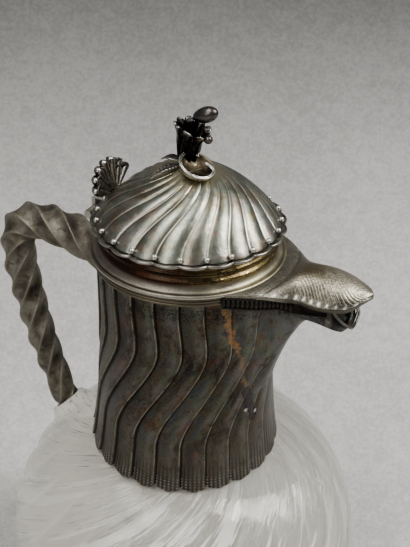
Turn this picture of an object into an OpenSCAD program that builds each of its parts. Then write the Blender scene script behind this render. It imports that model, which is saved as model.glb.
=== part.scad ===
// Claret jug: a swirl-fluted glass body with a silver neck mount, a covered spout, a twisted
// hollow handle and a hinged, domed lid with a flower finial.
// Millimetres. The origin is the middle of the base, +Z is up, the spout points along +X.

/* [Glass] */
// Radius of the bowl at its widest
bowl_r = 79.5; // [75:0.5:85]
// Height of the widest ring above the table
bowl_mid_z = 65; // [60:1:72]
// Rise from the widest ring to the shoulder
bowl_rise = 59; // [55:1:63]
// Radius of the flat that the jug stands on
base_r = 42; // [36:1:48]
// Thickness of the bowl wall
bowl_wall = 5; // [4:0.5:7]
// Thickness of the glass under the wine
base_thick = 9; // [7:0.5:13]
// Outer radius of the glass neck
neck_r = 32.5; // [30:0.25:35]
// Thickness of the neck wall
neck_wall = 4.5; // [3.5:0.5:6]
// Height of the glass neck above the shoulder
neck_rise = 56; // [46:1:62]
// Depth of the cut flutes
glass_flute = 1.4; // [0.8:0.1:1.8]
// Turn of the flutes from shoulder to base, in degrees
glass_turn = 60; // [30:5:90]
// Height of the fused lug under the handle
lug_h = 3; // [2:0.5:4]

/* [Lobes] */
// Number of lobes round the glass, the collar and the lid
lobe_count = 24; // [20:2:28]

/* [Collar] */
// Height of the collar
collar_h = 90; // [85:0.5:94]
// Thickness of the cement between the glass neck and the collar
cement_wall = 1.3; // [0.8:0.1:2]
// How far the collar's foot stands out past its top
foot_flare = 5.2; // [4.2:0.1:6.6]
// Thickness of the collar's silver
collar_wall = 0.9; // [0.7:0.1:1.1]
// Depth of the valleys between the collar's lobes
collar_flute = 0.6; // [0.4:0.1:0.7]
// How far the foot's scallops hang below their notches
foot_scallop = 2.6; // [1.5:0.1:3.2]
// Turn of the lobes from the top to the foot, in degrees
collar_turn = 27.3; // [15:0.1:40]

/* [Spout] */
// Reach of the spout's lip from the axis
spout_reach = 67; // [60:0.5:72]
// Depth of the spout below the collar's top
spout_depth = 14.5; // [12:0.5:17]
// Half of the angle that the spout takes from the collar
spout_half = 47; // [44:1:50]
// Half of the angle of the pouring mouth
lip_half = 10; // [8:0.5:11]
// Radius of the wire round the pouring mouth
lip_wire_r = 0.7; // [0.5:0.1:0.9]
// Height of the chased bands along the spout's sides
band_h = 5; // [3.5:0.1:5.5]
// Reach of the leaf's tip from the axis
leaf_reach = 73.4; // [70:0.5:78]
// Rise of the leaf's crown above its edges
leaf_crown = 4.5; // [3:0.5:6]
// Thickness of the leaf's silver
leaf_wall = 1.2; // [0.9:0.1:1.6]

/* [Mouth] */
// Thickness of the mouth ring's wall
mouth_wall = 4.5; // [3.5:0.1:5.5]
// How far the mouth ring's wall stands in from the collar's top
mouth_step = 0.8; // [0.5:0.1:1.2]
// How far the flange stands out past the collar's top
flange_over = 2.5; // [2.2:0.1:3.6]
// Height from the flange's underside to the top of the mouth ring
mouth_h = 11.2; // [10.4:0.1:12.4]
// Thickness of the flange's lip
flange_lip = 0.8; // [0.6:0.1:1.2]
// Radius of each reeded wire
reed_r = 0.85; // [0.6:0.05:1]

/* [Lid] */
// How far the lid's rim stands out past the mouth ring's wall, at its notches
rim_over = 1.5; // [1.1:0.1:1.9]
// How far the rim's scallops stand out past the notches
rim_scallop = 1.2; // [0.8:0.1:1.4]
// Thickness of the lid's rim
rim_h = 1.2; // [1:0.1:1.6]
// Height of the dome above the rim
dome_h = 22; // [20:0.5:25]
// Thickness of the dome's silver
dome_wall = 1.1; // [0.9:0.1:1.4]
// Depth of the valleys between the dome's lobes
dome_flute = 1.3; // [0.8:0.1:1.6]
// Turn of the lobes from the crown to the rim, in degrees
dome_turn = 55; // [35:5:70]
// Depth of the bezel below the lid's rim
bezel_h = 5.6; // [4.5:0.2:6]
// Thickness of the bezel
bezel_wall = 1; // [0.8:0.1:1.3]
// Radius of the beads round the rim
bead_r = 1.25; // [1:0.05:1.4]

/* [Hinge] */
// Distance of the hinge pin from the lid's rim
hinge_out = 4.8; // [4.6:0.1:6]
// Radius of the knuckles
knuckle_r = 2; // [1.9:0.1:2.2]
// Number of knuckles, odd
knuckle_count = 3; // [3:2:5]
// Length of the knuckles together
barrel_l = 13; // [12:0.5:16]
// Radius of the hinge pin
pin_r = 1; // [0.85:0.05:1.1]
// Width of the thumbpiece
thumb_w = 22.5; // [20:0.5:24]
// Height of the thumbpiece
thumb_h = 13.5; // [12:0.5:15]

/* [Handle] */
// Reach of the handle's centre line past the collar
handle_reach = 47.2; // [42:0.5:52]
// Rise of the handle from its root to its top
handle_lift = 6; // [4:0.5:8]
// Radius of the handle at its root
handle_root_r = 8.8; // [8:0.1:9.2]
// Radius of the handle at its lower end
handle_end_r = 6; // [5.4:0.1:6.6]
// Number of ridges round the twisted handle
ridge_count = 5; // [4:1:6]
// Length of one full turn of the twist
handle_pitch = 63; // [50:1:75]
// Thickness of the handle's silver
handle_wall = 0.9; // [0.7:0.1:1.1]
// Radius at which the handle lands on the shoulder
landing_r = 61; // [58:0.5:64]
// Length of the cement in the handle's end
cement_l = 12; // [8:1:16]

/* [Finial] */
// Radius of the finial's screw
screw_r = 1.8; // [1.5:0.1:2]
// Height of the flower
flower_h = 10.5; // [9:0.5:12]
// Radius of the flower at its widest
flower_r = 6.3; // [5.6:0.1:7]
// Number of the flower's petals
petal_count = 8; // [6:1:10]
// Half the length of the bud
bud_l = 5.6; // [5:0.2:6.6]
// Radius of the bud
bud_r = 3.4; // [3:0.1:3.8]
// Radius of the scroll
scroll_r = 4.3; // [4:0.1:4.8]
// Radius of the scroll's wire
scroll_wire_r = 0.8; // [0.6:0.1:1]

/* [Hidden] */

// Gaps: solder seats that touch, pieces that only sit together, the lid over the mouth
seat = 0.05;
sit = 0.2;
lid_gap = 0.3;
pin_fit = 0.03;
knuckle_fit = 0.06;
knuckle_gap = 0.3;
bezel_fit = 0.5;

// Radii of the stack, each from the piece that it is fitted to
collar_r = neck_r + cement_wall + collar_flute + collar_wall;
collar_foot_r = collar_r + foot_flare;
mouth_r = collar_r - mouth_step;
mouth_bore_r = mouth_r - mouth_wall;
flange_r = collar_r + flange_over;
rim_r = mouth_r + rim_over;
hinge_x = rim_r + hinge_out;

// Heights of the stack, from the shoulder of the glass to the crown of the lid
shoulder_z = bowl_mid_z + bowl_rise;
neck_top_z = shoulder_z + neck_rise;
foot_z = shoulder_z + sit;
collar_top_z = foot_z + collar_h;
flange_z = collar_top_z + sit;
mouth_top_z = flange_z + mouth_h;
rim_z = mouth_top_z + lid_gap;
dome_z = rim_z + rim_h + seat;
crown_z = dome_z + dome_h;
hinge_drop = 4.6;
hinge_z = mouth_top_z - hinge_drop;

lobe_phase = 180 / lobe_count;
fine_steps = 5;
coarse_steps = 4;

// ---- Skins -------------------------------------------------------------------------------

// Radius lost at the part u of a lobe: a valley at both of its ends, none in its middle
function lobe_cut(depth, u) = depth * (1 - sin(180 * (u % 1)));

// One ring of a lobed skin, turned about the axis
function lobed_ring(r, z, depth, turn, steps = coarse_steps) =
    [for (i = [0 : lobe_count * steps - 1])
        let (u = i / steps, a = u * 360 / lobe_count + lobe_phase + turn, q = r - lobe_cut(depth, u))
        [q * cos(a), q * sin(a), z]];

// A closed skin over rings with equally many points. With wrap, the last ring joins the first;
// without it, a fan closes each end.
module skin(rings, wrap = false) {
    n = len(rings[0]);
    m = len(rings);
    first = m * n;
    centres = [for (k = [0, m - 1]) [for (c = [0 : 2]) sum_of([for (p = rings[k]) p[c]]) / n]];
    sides = [for (j = [0 : m - (wrap ? 1 : 2)], i = [0 : n - 1])
        let (k = (j + 1) % m, h = (i + 1) % n)
        each [[j * n + i, k * n + h, j * n + h], [j * n + i, k * n + i, k * n + h]]];
    bottom = [for (i = [0 : n - 1]) [first, i, (i + 1) % n]];
    top = [for (i = [0 : n - 1]) [first + 1, (m - 1) * n + (i + 1) % n, (m - 1) * n + i]];
    rows = [for (ring = rings) each ring];
    if (wrap) polyhedron(points = rows, faces = sides);
    else polyhedron(points = concat(rows, centres), faces = concat(sides, bottom, top));
}

function sum_of(v, i = 0) = i >= len(v) ? 0 : v[i] + sum_of(v, i + 1);
function reversed(v) = [for (i = [len(v) - 1 : -1 : 0]) v[i]];
function mix(a, b, t) = a + (b - a) * t;
function ease(t) = let (c = min(1, max(0, t))) c * c * (3 - 2 * c);

// ---- Glass -------------------------------------------------------------------------------

// The bowl is two quarter ellipses: shoulder over the widest ring, and that ring over the base
shoulder_steps = 8;
belly_steps = 6;
inner_steps = 5;
base_in_r = base_r - 8;
bowl_in_r = bowl_r - bowl_wall;
neck_bore_r = neck_r - neck_wall;

// Outer radius and height of the shoulder at the angle t above the widest ring
function shoulder_point(t) =
    [mix(neck_r, bowl_r, cos(t)), bowl_mid_z + bowl_rise * sin(t)];
function belly_point(t) = [mix(base_r, bowl_r, cos(t)), bowl_mid_z * (1 - sin(t))];
function inner_shoulder(t) =
    [mix(neck_bore_r, bowl_in_r, cos(t)), bowl_mid_z + (bowl_rise - bowl_wall) * sin(t)];
function inner_belly(t) =
    [mix(base_in_r, bowl_in_r, cos(t)), mix(bowl_mid_z, base_thick, sin(t))];

// Flutes fade out under the collar and at the base, and turn on their way down
function flute_at(z) = glass_flute * ease(z / 12) * ease((shoulder_z - z) / 4);
function glass_turn_at(z) = -glass_turn * ease((shoulder_z - z) / shoulder_z);
function glass_ring(p) = lobed_ring(p[0], p[1], flute_at(p[1]), glass_turn_at(p[1]));
function inner_ring(p) = lobed_ring(p[0], p[1], 0, glass_turn_at(p[1]));

// The place on the shoulder where the handle lands, and the way out of the glass there
landing_t = acos((landing_r - neck_r) / (bowl_r - neck_r));
landing = [-landing_r, 0, shoulder_point(landing_t)[1]];
way_out_raw = [-cos(landing_t) / (bowl_r - neck_r), 0, sin(landing_t) / bowl_rise];
way_out = way_out_raw / norm(way_out_raw);
lug_tilt = atan2(way_out[0], way_out[2]);
lug_top = landing + way_out * lug_h;
lug_sink = 2.5;
lug_foot_r = handle_end_r * 1.75;
lug_head_r = handle_end_r * 1.3;

module glass_body() {
    outer = concat(
        [for (i = [belly_steps : -1 : 1]) glass_ring(belly_point(90 * i / belly_steps))],
        [for (i = [0 : shoulder_steps]) glass_ring(shoulder_point(90 * i / shoulder_steps))],
        [inner_ring([neck_r, neck_top_z])]);
    inner = concat(
        [inner_ring([neck_bore_r, neck_top_z])],
        [for (i = [inner_steps : -1 : 0]) inner_ring(inner_shoulder(90 * i / inner_steps))],
        [for (i = [1 : inner_steps]) inner_ring(inner_belly(90 * i / inner_steps))]);
    color("lightcyan", 0.5) {
        skin(concat(outer, inner));
        translate(landing) rotate([0, lug_tilt, 0])
            translate([0, 0, -lug_sink])
                cylinder(r1 = lug_foot_r, r2 = lug_head_r, h = lug_h + lug_sink, $fn = 48);
    }
}

// Cement bed between the glass neck and the collar. It starts above the foot's notches and ends
// below the rim of the glass neck.
bed_low_z = foot_z + foot_scallop + 1;
bed_top_z = neck_top_z - 3;

module collar_cement() {
    bed_r = collar_in_r - collar_flute - seat;
    color("beige") translate([0, 0, bed_low_z]) difference() {
        cylinder(r = bed_r, h = bed_top_z - bed_low_z, $fn = 96);
        translate([0, 0, -1]) cylinder(r = neck_r + seat, h = neck_rise, $fn = 96);
    }
}

// ---- Collar and spout --------------------------------------------------------------------

collar_in_r = collar_r - collar_wall;
collar_rows = 7;
spout_drop = 54;
spout_start_t = 1 - spout_drop / collar_h;
spout_steps = 6;
spout_root = 1.5;
spout_arch = 2.2;
beak_round = 4;
beak_half = 21;
beak_tail = 0.44;
beak_wall = 1.5;

// Radius of the collar's lobes at the part t of its height, and the turn of its lobes there
function collar_r_at(t) = collar_r + (collar_foot_r - collar_r) * pow(1 - t, 3);
function collar_turn_at(t) = -collar_turn * (1 - ease((t - 0.12) / 0.42));

// Rows of the spout: height on the collar's back, then reach and height on the spout's middle,
// all from the collar's top. The spout's underside arches before its lip.
spout_rows = [for (k = [0 : spout_steps])
    let (t = k / spout_steps, climb = sin(90 * pow(min(1, t / 0.8), 1.5)))
    [-spout_drop * (1 - t), mix(collar_r + spout_root, spout_reach, pow(t, 1.9)),
        mix(-spout_drop, -spout_depth, climb) + spout_arch * sin(180 * max(0, (t - 0.55) / 0.45))]];

// Shares of the spout's shape at the angle a from its middle: a beak with nearly parallel sides
// on a tail that runs out into the collar
function around(a) = abs((a % 360 + 540) % 360 - 180);
function beak(a) =
    let (nose = 1 - ease((around(a) - beak_round) / (beak_half - beak_round)),
        tail = beak_tail * max(0, 1 - around(a) / spout_half))
    min(1, pow(pow(nose, 4) + pow(tail, 4), 0.25));
function mouth_dip(a) = around(a) >= lip_half ? 0 : pow(cos(90 * around(a) / lip_half), 0.7);

// How far the leaf's edge hangs below the flange at the share s of its length, and at a place
// over the spout. The spout's own edge sinks as much, so the leaf lies on it.
function edge_drop(s) = leaf_droop * ease(s / 0.3) * (1 - 0.85 * ease((s - 0.8) / 0.2));
function leaf_sag(x, y) =
    let (root = sqrt(pow(flange_r + seat, 2) - y * y),
        s = min(1, max(0, (x - root) / (leaf_reach - root))))
    edge_drop(s);

// A ring of the upper collar. inset is how far inside the outer face it lies.
function spout_ring(row, t, inset) =
    let (r0 = collar_r_at(1 + row[0] / collar_h) - inset, last = t >= 1)
    [for (i = [0 : lobe_count * fine_steps - 1])
        let (u = i / fine_steps,
            a = u * 360 / lobe_count + lobe_phase,
            w = beak(inset > 0 ? around(a) + beak_wall : a),
            q = mix(r0, row[1] - inset, w) - (inset > 0 ? 0 : lobe_cut(collar_flute, u)) * (1 - w),
            dip = last ? mouth_dip(a) : w,
            sag = last ? leaf_sag(q * cos(a), q * sin(a)) : 0,
            z = collar_top_z + mix(row[0] - sag, row[2] + inset, dip))
        [q * cos(a), q * sin(a), z]];

function plain_collar_ring(t, inset) =
    let (r = collar_r_at(t) - inset, turn = collar_turn_at(t), z = mix(foot_z, collar_top_z, t))
    [for (i = [0 : lobe_count * fine_steps - 1])
        let (u = i / fine_steps,
            a = u * 360 / lobe_count + lobe_phase + turn,
            q = r - (inset > 0 ? 0 : lobe_cut(collar_flute, u)),
            notch = t > 0 ? 0 : lobe_cut(foot_scallop, u))
        [q * cos(a), q * sin(a), z + notch]];

module neck_collar() {
    lower = [for (k = [0 : collar_rows - 1]) spout_start_t * k / collar_rows];
    inset = collar_wall + collar_flute;
    outer = concat(
        [for (t = lower) plain_collar_ring(t, 0)],
        [for (k = [0 : spout_steps]) spout_ring(spout_rows[k], k / spout_steps, 0)]);
    inner = concat(
        [for (t = lower) plain_collar_ring(t, inset)],
        [for (k = [0 : spout_steps]) spout_ring(spout_rows[k], k / spout_steps, inset)]);
    color("dimgray") skin(concat(outer, reversed(inner)), wrap = true);
}

// Chased bands along both sides of the spout, under the leaf's edges
band_thick = 1.4;
band_bevel = 0.3;

function spout_edge(a) = mix(collar_r, spout_reach, beak(a));

// The band at one of the angles of the collar's own ring. It gets lower towards the lip.
function band_place(i) =
    let (a = i * 360 / lobe_count / fine_steps + lobe_phase,
        h = band_h * mix(0.8, 1, ease((around(a) - lip_half) / 6)))
    [for (c = [[0, -h], [0, 0], [band_thick, -band_bevel], [band_thick, band_bevel - h]])
        let (q = spout_edge(a) + seat + c[0], x = q * cos(a), y = q * sin(a))
        [x, y, collar_top_z - leaf_sag(x, y) + c[1]]];
function in_band(i, side) =
    let (a = side * (i * 360 / lobe_count / fine_steps + lobe_phase))
    a > lip_half && a < spout_half - 1;

module spout_bands() color("dimgray") for (side = [-1, 1])
    skin([for (i = [-lobe_count * fine_steps / 4 : lobe_count * fine_steps / 4])
        if (in_band(i, side)) band_place(i)]);

// A sheet between two grids of points that share their size: over is its upper face
module sheet(over, under) {
    m = len(over);
    n = len(over[0]);
    low = m * n;
    function at(j, i) = j * n + i;
    faces = concat(
        [for (j = [0 : m - 2], i = [0 : n - 2])
            each [[at(j, i), at(j + 1, i + 1), at(j + 1, i)], [at(j, i), at(j, i + 1), at(j + 1, i + 1)],
                [low + at(j, i), low + at(j + 1, i), low + at(j + 1, i + 1)],
                [low + at(j, i), low + at(j + 1, i + 1), low + at(j, i + 1)]]],
        [for (i = [0 : n - 2]) each [[at(0, i), low + at(0, i), low + at(0, i + 1)],
            [at(0, i), low + at(0, i + 1), at(0, i + 1)],
            [at(m - 1, i), low + at(m - 1, i + 1), low + at(m - 1, i)],
            [at(m - 1, i), at(m - 1, i + 1), low + at(m - 1, i + 1)]]],
        [for (j = [0 : m - 2]) each [[at(j, 0), low + at(j + 1, 0), low + at(j, 0)],
            [at(j, 0), at(j + 1, 0), low + at(j + 1, 0)],
            [at(j, n - 1), low + at(j, n - 1), low + at(j + 1, n - 1)],
            [at(j, n - 1), low + at(j + 1, n - 1), at(j + 1, n - 1)]]]);
    points = concat([for (row = over) each row], [for (row = under) each row]);
    polyhedron(points = points, faces = faces);
}

// The leaf that covers the spout, from the flange to its tip. It is flared at the flange, waisted
// past it and swollen before its tip, and its edges hang below its middle.
leaf_half_w = 13.7;
leaf_flare = 12;
leaf_waist = 1.2;
leaf_droop = 3.1;
leaf_rows = 18;
leaf_cols = 22;

function leaf_half(s) =
    (leaf_half_w + leaf_flare * pow(max(0, 1 - s / 0.4), 1.8)
        - leaf_waist * pow(sin(180 * min(1, s / 0.62)), 2)) * pow(1 - pow(s * 0.999, 8), 0.75);
function leaf_point(j, i, drop) =
    let (s = j / leaf_rows, v = 2 * i / leaf_cols - 1,
        y = leaf_half(s) * v,
        root = sqrt(pow(flange_r + seat, 2) - y * y),
        swell = (leaf_crown * sin(180 * pow(s, 0.9)) + edge_drop(s)) * (1 - v * v))
    [mix(root, leaf_reach, s), y, flange_z + leaf_wall + swell - edge_drop(s) - drop];
function leaf_grid(drop) =
    [for (j = [0 : leaf_rows]) [for (i = [0 : leaf_cols]) leaf_point(j, i, drop)]];

module spout_leaf() color("silver") sheet(leaf_grid(0), leaf_grid(leaf_wall));

// Half-round wire soldered round the pouring mouth
wire_steps = 14;
wire_sides = 8;

function lip_path(k) =
    let (a = mix(-0.92, 0.92, k / wire_steps) * lip_half,
        q = spout_edge(a) + lip_wire_r + seat,
        drop = mix(leaf_sag(q * cos(a), q * sin(a)), spout_depth, mouth_dip(a)))
    [q * cos(a), q * sin(a), collar_top_z - drop + lip_wire_r];

module spout_lip_wire() color("silver") skin([for (k = [0 : wire_steps])
    let (p = lip_path(k), ahead = lip_path(k + 0.01) - lip_path(k - 0.01),
        up = cross(ahead, [1, 0, 0]), v = up / norm(up))
    [for (i = [0 : wire_sides - 1])
        let (f = 360 * i / wire_sides)
        p + lip_wire_r * [cos(f), v[1] * sin(f), v[2] * sin(f)]]]);

// ---- Mouth -------------------------------------------------------------------------------

cove_h = 4.2;
cove_steps = 8;
// The bore opens out at its top, so that the bezel's back edge clears it as the lid turns
lead_w = 1;
lead_h = 2.5;

module mouth_ring() {
    cove = [for (k = [0 : cove_steps])
        let (t = 90 * k / cove_steps)
        [mix(flange_r, mouth_r, sin(t)),
            flange_z + mix(cove_h, flange_lip, cos(t))]];
    color("peru") rotate_extrude($fn = 96)
        polygon(concat([[mouth_bore_r, flange_z], [flange_r, flange_z]], cove,
            [[mouth_r, mouth_top_z], [mouth_bore_r + lead_w, mouth_top_z],
                [mouth_bore_r, mouth_top_z - lead_h]]));
}

// Two reeded wires under the flange, open where the spout leaves the collar
module reeded_wire() {
    opening = spout_half + 3;
    color("dimgray") rotate([0, 0, opening])
        rotate_extrude(angle = 360 - 2 * opening, $fn = 96) {
            for (k = [0, 1])
                translate([collar_r + reed_r + seat, collar_top_z - reed_r * (1.1 + 1.9 * k)])
                    circle(r = reed_r, $fn = 20);
        }
}

// ---- Handle ------------------------------------------------------------------------------

root_z = collar_top_z - handle_root_r - reed_r * 4.6;
root_fit = 0.2;
handle_in = 0.78;
ridge_steps = 4;
ridge_cut = 0.22;
landing_gap = 0.1;
shear_l = 16;
run_bow = 2.2;

// The centre line in the X-Z plane: shares of the reach and of the lift round the top bend,
// then a slightly bowed run down to the glass
bend = [[0, 0], [0.18, 0.42], [0.39, 0.8], [0.6, 1], [0.81, 0.93], [0.96, 0.15], [1.01, -1.3], [1, -3]];
handle_start = [-collar_r - seat, root_z];
bend_points = [for (p = bend) handle_start + [-handle_reach * p[0], handle_lift * p[1]]];
bend_end = bend_points[len(bend) - 1];
handle_foot = [lug_top[0], lug_top[2]];
run_points = [for (t = [0.16, 0.34, 0.52, 0.7, 0.86, 1])
    bend_end + (handle_foot - bend_end) * t + [-run_bow * sin(180 * t), 0]];
control = concat(bend_points, run_points);

// A smooth curve through the control points
function curve(a, b, c, d, t) =
    let (bow = 2 * a - 5 * b + 4 * c - d, turn = 3 * b - a - 3 * c + d)
    0.5 * (2 * b + (c - a) * t + bow * t * t + turn * t * t * t);
function along(pts, per) = let (m = len(pts) - 1) concat(
    [for (k = [0 : m - 1], i = [0 : per - 1])
        curve(pts[max(0, k - 1)], pts[k], pts[k + 1], pts[min(m, k + 2)], i / per)],
    [pts[m]]);
function lengths(p, i = 0, done = [0]) =
    i + 1 >= len(p) ? done : lengths(p, i + 1, concat(done, [done[i] + norm(p[i + 1] - p[i])]));

handle_line = along(control, 3);
handle_s = lengths(handle_line);
handle_last = len(handle_line) - 1;
handle_length = handle_s[handle_last];

function heading(k) =
    let (d = handle_line[min(handle_last, k + 1)] - handle_line[max(0, k - 1)]) d / norm(d);

// A ring of the handle. The root ring is fitted to the collar, and the last ones lean over
// until the end lies on the lug. The hollow runs inside the deepest valleys.
function handle_ring(k, hollow) =
    let (h = heading(k), t = [h[0], 0, h[1]], out = [h[1], 0, -h[0]],
        c = [handle_line[k][0], 0, handle_line[k][1]],
        r = mix(handle_root_r, handle_end_r, handle_s[k] / handle_length),
        lean = ease(1 - (handle_length - handle_s[k]) / shear_l))
    [for (i = [0 : ridge_count * ridge_steps - 1])
        let (u = i / ridge_steps,
            f = u * 360 / ridge_count + 360 * handle_s[k] / handle_pitch,
            q = hollow ? r * handle_in - handle_wall : r * (1 - ridge_cut * sin(180 * (u % 1))),
            p = c + out * q * cos(f) + [0, q * sin(f), 0],
            slide = ((c - p) * way_out + landing_gap) / (t * way_out) * lean,
            w = p + t * slide)
        k == 0 ? [-sqrt(pow(collar_r + root_fit, 2) - pow(w[1], 2)), w[1], w[2]] : w];

module handle() {
    outer = [for (k = [0 : handle_last]) handle_ring(k, false)];
    inner = [for (k = [0 : handle_last]) handle_ring(k, true)];
    color("dimgray") skin(concat(outer, reversed(inner)), wrap = true);
}

// Cement that holds the handle's end on the lug
module handle_cement() {
    h = heading(handle_last);
    t = [-h[0], 0, -h[1]];
    plug_r = handle_end_r * handle_in - handle_wall - seat;
    cut_l = 5 * cement_l;
    color("beige") difference() {
        translate(lug_top - t * cement_l) rotate([0, atan2(t[0], t[2]), 0])
            cylinder(r = plug_r, h = 2 * cement_l, $fn = 32);
        translate(lug_top) rotate([0, lug_tilt, 0])
            translate([-cut_l / 2, -cut_l / 2, -cut_l + landing_gap]) cube(cut_l);
    }
}

// ---- Lid ---------------------------------------------------------------------------------

dome_r = rim_r - 0.6;
dome_steps = 8;
hole_r = screw_r + 0.4;
bezel_r = mouth_bore_r - bezel_fit;

// Height of the dome over its foot at the share x of its radius
function dome_rise(x) = dome_h * pow(1 - pow(x, 1.7), 0.9);
function dome_ring(k, inset) =
    let (x = 1 - (1 - hole_r / dome_r) * pow(k / dome_steps, 1.5),
        r = dome_r * x - inset * pow(x, 0.5),
        depth = inset > 0 ? 0 : dome_flute * ease(x * 1.6))
    lobed_ring(r, dome_z + max(0, dome_rise(x) - inset), depth, dome_turn * ease(1 - x));

// The dome is flat inside, round its hole, where the washer of the finial lies
module lid_dome() {
    inset = dome_wall + dome_flute * 0.9;
    outer = [for (k = [0 : dome_steps]) dome_ring(k, 0)];
    inner = concat([for (k = [0 : dome_steps - 1]) dome_ring(k, inset)],
        [for (r = [washer_seat_r, hole_r]) lobed_ring(r, under_crown_z, 0, dome_turn)]);
    color("silver") skin(concat(outer, reversed(inner)), wrap = true);
}

module lid_rim() {
    steps = 6;
    outline = [for (i = [0 : lobe_count * steps - 1])
        let (u = i / steps, a = u * 360 / lobe_count + lobe_phase,
            q = rim_r + rim_scallop * sin(180 * (u % 1)))
        q * [cos(a), sin(a)]];
    color("silver") translate([0, 0, rim_z]) difference() {
        linear_extrude(rim_h) polygon(outline);
        translate([0, 0, -1]) cylinder(r = bezel_r + seat, h = rim_h + 2, $fn = 96);
    }
}

// One bead in each notch of the rim
module lid_beads() {
    q = dome_r - dome_flute + bead_r + 2 * seat;
    color("silver") for (i = [0 : lobe_count - 1])
        rotate([0, 0, lobe_phase + 360 * i / lobe_count])
            translate([q, 0, rim_z + rim_h + bead_r + seat]) sphere(r = bead_r, $fn = 16);
}

// Gilt bezel that drops into the mouth ring
module lid_bezel() {
    color("peru") translate([0, 0, rim_z - bezel_h]) difference() {
        cylinder(r = bezel_r, h = bezel_h + rim_h, $fn = 96);
        translate([0, 0, -1]) cylinder(r = bezel_r - bezel_wall, h = bezel_h + rim_h + 2, $fn = 96);
    }
}

// ---- Hinge -------------------------------------------------------------------------------

knuckle_l = barrel_l / knuckle_count;

module at_hinge() translate([-hinge_x, 0, hinge_z]) rotate([90, 0, 0]) children();

// The knuckles whose number has this parity, grown by a gap on radius and ends
module knuckles(parity, grow = 0) {
    at_hinge() for (k = [parity : 2 : knuckle_count - 1])
        translate([0, 0, -barrel_l / 2 + k * knuckle_l + knuckle_gap / 2 - grow])
            cylinder(r = knuckle_r + grow, h = knuckle_l - knuckle_gap + 2 * grow, $fn = 32);
}

module hinge_bore(fit) {
    at_hinge() cylinder(r = pin_r + fit, h = barrel_l + 6, center = true, $fn = 32);
}

module slab(outline, width) {
    rotate([90, 0, 0]) linear_extrude(width, center = true) polygon(outline);
}

// Knuckles fixed to the mouth ring by a web that clears the cove and the flange
web_over_flange = 0.6;
web_over_cove = 2.2;
web_in = 2;

module hinge_bracket() {
    top = hinge_z + knuckle_r / 2;
    web = [[-mouth_r + web_in, top], [-hinge_x, top], [-hinge_x - knuckle_r * 0.85, hinge_z],
        [-flange_r, flange_z + flange_lip + web_over_flange],
        [-mouth_r + web_in, flange_z + cove_h + web_over_cove]];
    color("dimgray") difference() {
        union() {
            knuckles(0);
            slab(web, barrel_l - knuckle_gap);
        }
        knuckles(1, knuckle_gap);
        cylinder(r = mouth_r + seat, h = mouth_top_z + 1, $fn = 96);
        hinge_bore(pin_fit);
    }
}

// Pin with a riveted head at each end
pin_head_l = 0.8;
pin_head_r = pin_r * 1.6;

module hinge_pin() {
    shank = barrel_l + 2 * seat;
    color("gray") at_hinge() {
        cylinder(r = pin_r, h = shank, center = true, $fn = 32);
        for (side = [-1, 1]) translate([0, 0, side * (shank + pin_head_l) / 2])
            cylinder(r = pin_head_r, h = pin_head_l, center = true, $fn = 32);
    }
}

leaf_low_z = rim_z + 0.1;
leaf_top_z = rim_z + rim_h;
drop_in = 0.2;
drop_out = 1.4;

// Knuckles fixed to the lid's rim by a leaf that turns down behind it
module lid_hinge_leaf() {
    leaf = [[-rim_r, leaf_low_z], [-rim_r, leaf_top_z], [-hinge_x, leaf_top_z],
        [-hinge_x - drop_out, leaf_top_z - 1], [-hinge_x - drop_out, hinge_z],
        [-hinge_x + drop_in, hinge_z], [-hinge_x + drop_in, leaf_low_z]];
    width = knuckle_l * (knuckle_count - 2) - knuckle_gap;
    color("silver") difference() {
        union() {
            knuckles(1);
            slab(leaf, width);
        }
        knuckles(0, knuckle_gap);
        cylinder(r = rim_r + rim_scallop + seat, h = leaf_top_z + 1, $fn = 96);
        hinge_bore(knuckle_fit);
    }
}

// Scallop-shell thumbpiece on a foot that stands on the leaf and arches over the dome's edge.
// Its ribs fan out from the foot, and the shell is cupped towards the lid.
thumb_x = dome_r - 1.8;
thumb_z = dome_z + 3.6;
thumb_lean = 4;
thumb_ribs = 7;
thumb_fan = 62;
thumb_edge_share = 0.86;
thumb_plate = 0.9;
thumb_rib = 0.7;
thumb_cup = 2.4;
thumb_foot_w = 5;
thumb_rows = 7;
thumb_cols = 4 * thumb_ribs;

function thumb_point(j, i, side) =
    let (f = 2 * i / thumb_cols - 1, rib = sin(180 * ((i / 4) % 1)),
        reach = thumb_h * mix(1, thumb_edge_share, f * f), s = mix(0.15, 1 + 0.07 * rib, j / thumb_rows),
        wide = thumb_w / 2 / (thumb_h * thumb_edge_share * sin(thumb_fan)))
    [side * (thumb_plate / 2 + thumb_rib * rib * s) - thumb_cup * (1 - f * f) * s,
        s * reach * sin(thumb_fan * f) * wide, s * reach * cos(thumb_fan * f)];
function thumb_grid(side) =
    [for (j = [0 : thumb_rows]) [for (i = [0 : thumb_cols]) thumb_point(j, i, side)]];

module thumbpiece() {
    color("silver") {
        translate([-thumb_x, 0, thumb_z]) rotate([0, -thumb_lean, 0])
            sheet(thumb_grid(-1), thumb_grid(1));
        slab([[-rim_r - rim_scallop - 0.4, leaf_top_z + seat], [-hinge_x, leaf_top_z + seat],
            [-hinge_x + 1, leaf_top_z + 2], [-thumb_x - 1.2, thumb_z + 2.8],
            [-thumb_x + 0.2, thumb_z + 2.6], [-thumb_x - 0.3, thumb_z - 1.4]], thumb_foot_w);
    }
}

// ---- Finial ------------------------------------------------------------------------------

stem_disc_r = 4;
stem_disc_h = 1.1;
stem_h = 5;
nut_h = 2.4;
washer_h = 0.8;
screw_out = 1.6;
flower_z = crown_z + stem_h + seat;
flower_top_z = flower_z + flower_h;
washer_seat_r = stem_disc_r + 0.6;
under_crown_z = dome_z + dome_rise(washer_seat_r / dome_r) - dome_wall;
washer_z = under_crown_z - seat - washer_h;
nut_z = washer_z - seat - nut_h;

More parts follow.
